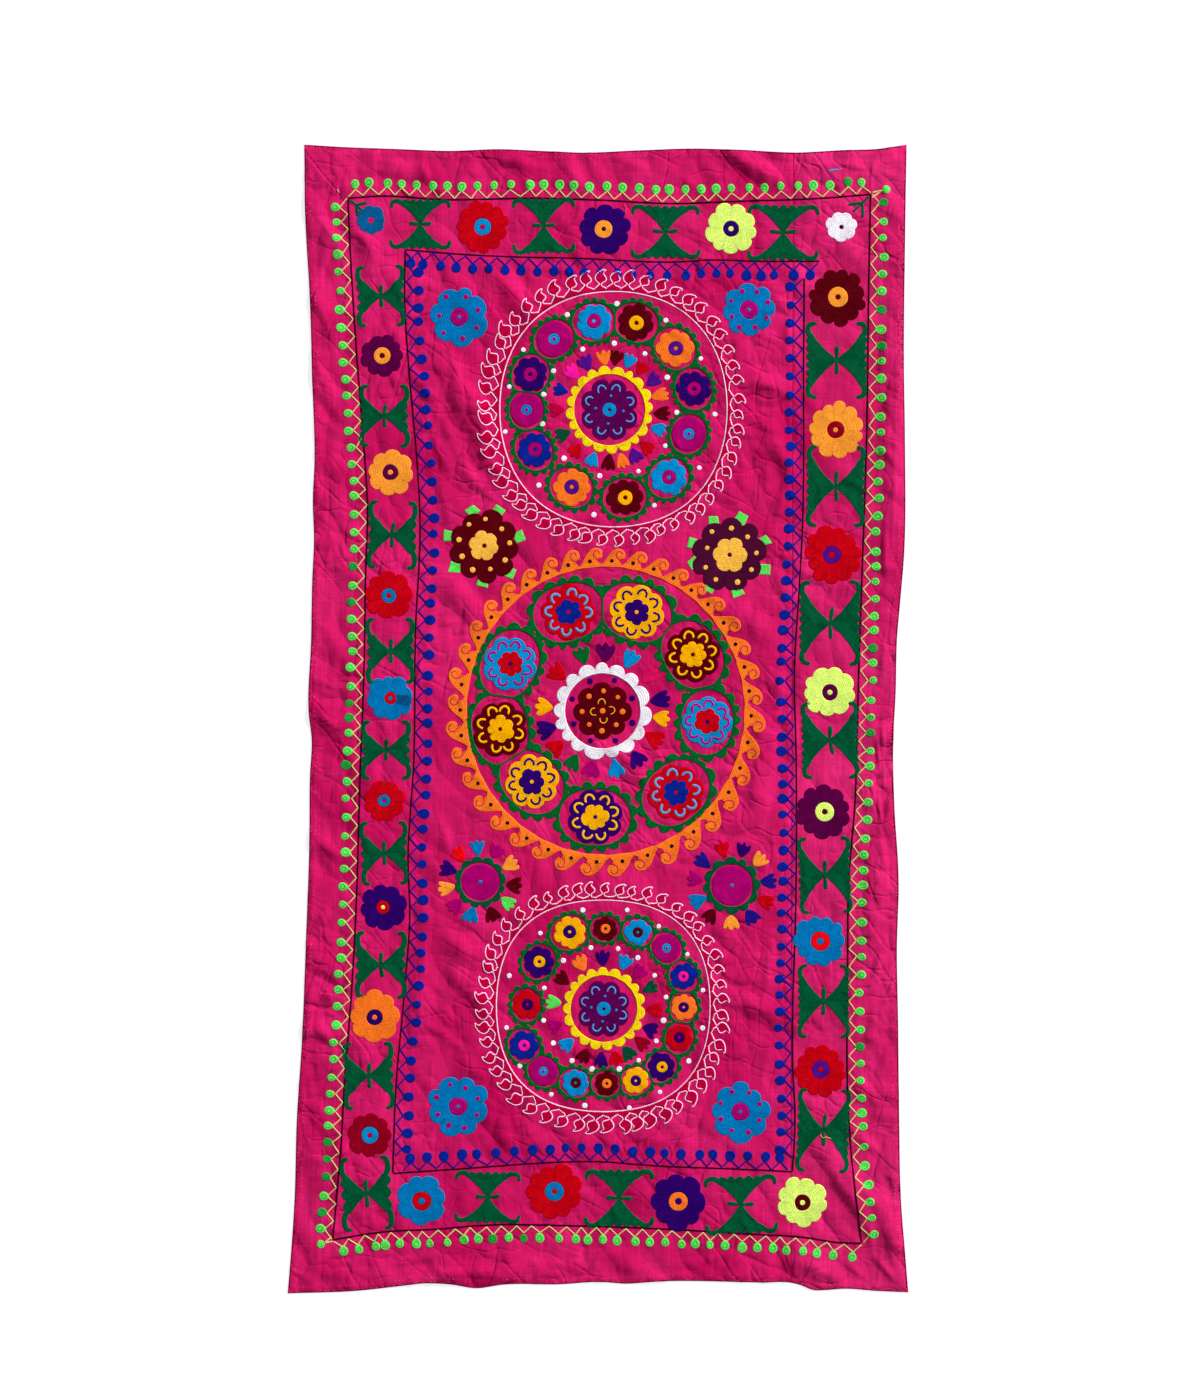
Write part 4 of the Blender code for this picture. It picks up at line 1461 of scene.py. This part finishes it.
def panel(name, node, material, left_of, right_of, left_band, right_band, crisp=0.0):
    """One width of cotton: a closed sheet whose underside has cells of twice the size."""
    width = float(right_of(0.0) - left_of(0.0))
    columns = grid_places(width, left_band, right_band, crisp)
    rows = grid_places(LENGTH, HEM_WIDTH, HEM_WIDTH)
    row, column = np.meshgrid(rows, columns, indexing="ij")
    left, right = left_of(row - HALF_LENGTH), right_of(row - HALF_LENGTH)
    x = left + (right - left) * column / width
    low, high = through(BOTTOM_EDGE, x), through(TOP_EDGE, x)
    y = low + (high - low) * row / LENGTH
    rim = np.zeros(x.shape, bool)
    rim[[0, -1]] = rim[:, [0, -1]] = True
    top = cloth_top(x, y) - np.where(rim, EDGE_DROP, 0.0)
    under = underside(x, y) + np.where(rim, EDGE_LIFT, 0.0)
    upper, lower = (np.stack([x, y, height], -1) for height in (top, under))
    points = np.vstack([upper.reshape(-1, 3), lower[::2, ::2].reshape(-1, 3)])
    n_rows, n_columns = x.shape
    first = n_rows * n_columns
    half = (n_columns + 1) // 2
    a, b = cells(n_rows, n_columns), first + cells((n_rows + 1) // 2, half)
    top_faces = np.stack([a, a + 1, a + n_columns + 1, a + n_columns], 1)
    low_faces = np.stack([b, b + half, b + half + 1, b + 1], 1)
    faces = [top_faces, low_faces, rim_faces(n_rows, n_columns, first, half)]
    uvs = [points[:, :2][block] for block in faces]
    slots = [np.zeros(len(block), int) for block in faces]
    piece = write_mesh(name, points, faces, uvs, slots, [material])
    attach(piece, "root")
    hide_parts(node)
    return piece


def rim_faces(n_rows, n_columns, first, half):
    """Triangles round the rim, between the fine upper edge and the coarse lower one."""
    near, right = np.arange(n_columns), np.arange(1, n_rows) * n_columns + n_columns - 1
    far = (n_rows - 1) * n_columns + np.arange(n_columns - 2, -1, -1)
    side = np.concatenate([near, right, far, np.arange(n_rows - 2, -1, -1) * n_columns])
    row, column = side // n_columns, side % n_columns
    below = first + (row // 2) * half + column // 2
    triangles = []
    for k in range(0, len(side) - 1, 2):
        a, b, c = side[k : k + 3]
        low, next_low = below[k], below[k + 2]
        triangles += [(b, a, low), (b, low, next_low), (b, next_low, c)]
    return np.array(triangles)


def hem_stitches():
    """The whipped edge, and the faint running stitches of the hems."""
    piece = Embroidery("hem_stitches", 41)
    random = piece.random
    for points, upright, hand in (
        (TOP_EDGE, False, -1),
        (RIGHT_EDGE, True, 1),
        (BOTTOM_EDGE, False, 1),
        (LEFT_EDGE, True, -1),
    ):
        side = Side(points, upright)
        places = np.arange(4.0, side.length - 4, 4.0)
        path = np.array([side.at(place, hand * 1.3) for place in places])
        piece.line(path, 2.2, "edge", -0.1, rise=0.3)
        distance = 14.0
        while distance < side.length - 16:
            length = random.uniform(3.0, 4.0)
            beside = hand * (10.0 + random.normal(0, 0.4))
            path = np.array([side.at(distance + length * t, beside) for t in (0, 0.5, 1)])
            piece.line(path, 1.0, "pale_pink" if random.random() < 0.6 else "shade_pink", rise=0.3)
            distance += length + random.uniform(2.6, 4.0)
        for distance in np.arange(6.0, side.length - 6, 5.0):
            lean = random.normal(1.2, 0.3)
            path = [side.at(distance + lean * t, hand * (0.9 + 3.4 * t)) for t in (0, 0.5, 1)]
            piece.line(np.array(path), 1.2, "edge" if random.random() < 0.6 else "pale_pink", rise=0.4)
    piece.finish()


def seam_thread():
    """The thread that fills the gap of the seam."""
    piece = Embroidery("seam_thread", 41)
    low, high = through(BOTTOM_EDGE, SEAM_BOTTOM_X) + 1, through(TOP_EDGE, SEAM_TOP_X) - 1
    level = np.linspace(low, high, 700)
    piece.line(np.stack([seam_at(level), level], 1), 1.5, "shade_pink", -0.4, 0.35)
    piece.finish()


def small_things():
    """The two corner sprigs, a stray blue stroke, and loose thread ends."""
    piece = Embroidery("sprigs_and_ends", 51)
    for start, end, leaves in (
        ((-434, 908), (-408, 886), ((-400, 904), (-419, 874))),
        ((474, 914), (446, 887), ((433, 899), (463, 872))),
    ):
        start, end = np.array(start, float), np.array(end, float)
        piece.line(even_steps([start, end], LINE_STEP), 5.0, "dark_green", rows=3)
        fork = start + (end - start) * 0.4
        for tip in leaves:
            path = even_steps([fork, fork + (np.array(tip) - fork) * 0.85], LINE_STEP)
            width = np.interp(np.linspace(0, 1, len(path)), (0, 0.6, 1), (4.5, 7.5, 5))
            piece.line(path, width, "dark_green", 0.1, rows=3)
    piece.line(smooth_path([(403, 958), (412, 960.5), (421, 961)], LINE_STEP), 3.6, "sky")
    tail = smooth_path([(421, 961), (425, 962), (429, 962.5)], LINE_STEP)
    piece.line(tail, 1.2, "light_blue", rise=0.4)
    ends = [
        ("pale_pink", [(46, 899), (48.5, 893), (47.5, 888), (50, 883)]),
        ("white", [(-456, 926), (-453, 921)]),
        ("pale_green", [(389, -727), (393, -732), (399, -731), (408, -734)]),
    ]
    for thread, points in ends:
        piece.line(smooth_path(points, LINE_STEP), 1.0, thread, 1.0, rise=0.5)
    piece.finish()


# The studio


FLOOR_GREY = 0.2
FLOOR_GLOW = 0.8
WORLD_STRENGTH = 0.24
WHITE = (1, 1, 1, 1)


def floor():
    bpy.ops.mesh.primitive_plane_add(size=9.0, location=(0, 0, -0.0003))
    plane = bpy.context.object
    plane.name = "floor"
    nodes = Nodes("pale_floor")
    for socket, value in {
        "Base Color": (FLOOR_GREY, FLOOR_GREY, FLOOR_GREY, 1),
        "Emission Color": WHITE,
        "Emission Strength": FLOOR_GLOW,
        "Roughness": 0.9,
        "Specular IOR Level": 0.1,
    }.items():
        nodes.put(value, nodes.shader.inputs[socket])
    plane.data.materials.append(nodes.material)


def light(name, place, size, power):
    """A round lamp that looks at the middle of the cloth."""
    lamp = bpy.data.lights.new(name, "AREA")
    lamp.shape = "DISK"
    lamp.size = size
    lamp.energy = power
    holder = bpy.data.objects.new(name, lamp)
    holder.location = place
    x, y, z = place
    holder.rotation_euler = (math.atan2(math.hypot(x, y), z), 0, math.atan2(x, -y))
    bpy.context.scene.collection.objects.link(holder)


def studio():
    """A pale floor, one soft light from the upper right, and an even fill."""
    floor()
    light("key", (16.5, 15.7, 12.6), 2.1, 10800)
    light("fill", (-3.0, -2.0, 5.0), 3.0, 25)
    world = bpy.data.worlds.new("studio")
    world.use_nodes = True
    background = world.node_tree.nodes["Background"].inputs
    background["Color"].default_value = WHITE
    background["Strength"].default_value = WORLD_STRENGTH
    bpy.context.scene.world = world
    bpy.context.scene.view_settings.view_transform = "Standard"


VIEW_HEIGHT = 2.4325
LENS = 70.0
SENSOR = 36.0
VIEW_MIDDLE = (0.0035, 0.042)


def camera():
    """Straight above. The photograph's frame is 2.43 m high at the cloth's scale."""
    data = bpy.data.cameras.new("camera")
    data.sensor_fit = "VERTICAL"
    data.sensor_height = SENSOR
    data.lens = LENS
    holder = bpy.data.objects.new("camera", data)
    holder.location = (*VIEW_MIDDLE, VIEW_HEIGHT * LENS / SENSOR)
    bpy.context.scene.collection.objects.link(holder)
    bpy.context.scene.camera = holder


def main():
    main_panel = panel(
        "cloth_main", "main_panel",
        cotton_material("cotton_main", (171, 2, 71), (219, 34, 110)),
        lambda level: through(LEFT_EDGE, level), lambda level: seam_at(level) - SEAM_GAP / 2,
        HEM_WIDTH, SEAM_ALLOWANCE,
    )
    side_panel = panel(
        "cloth_side", "side_panel",
        cotton_material("cotton_side", (173, 6, 74), (220, 40, 114)),
        lambda level: seam_at(level) + SEAM_GAP / 2, lambda level: through(RIGHT_EDGE, level),
        SEAM_ALLOWANCE, HEM_WIDTH, CRISP_MARGIN,
    )
    border_flowers()
    green_motifs()
    field_motifs()
    top_medallion()
    middle_medallion()
    bottom_medallion()
    borders()
    hem_stitches()
    seam_thread()
    small_things()
    studio()
    camera()


main()
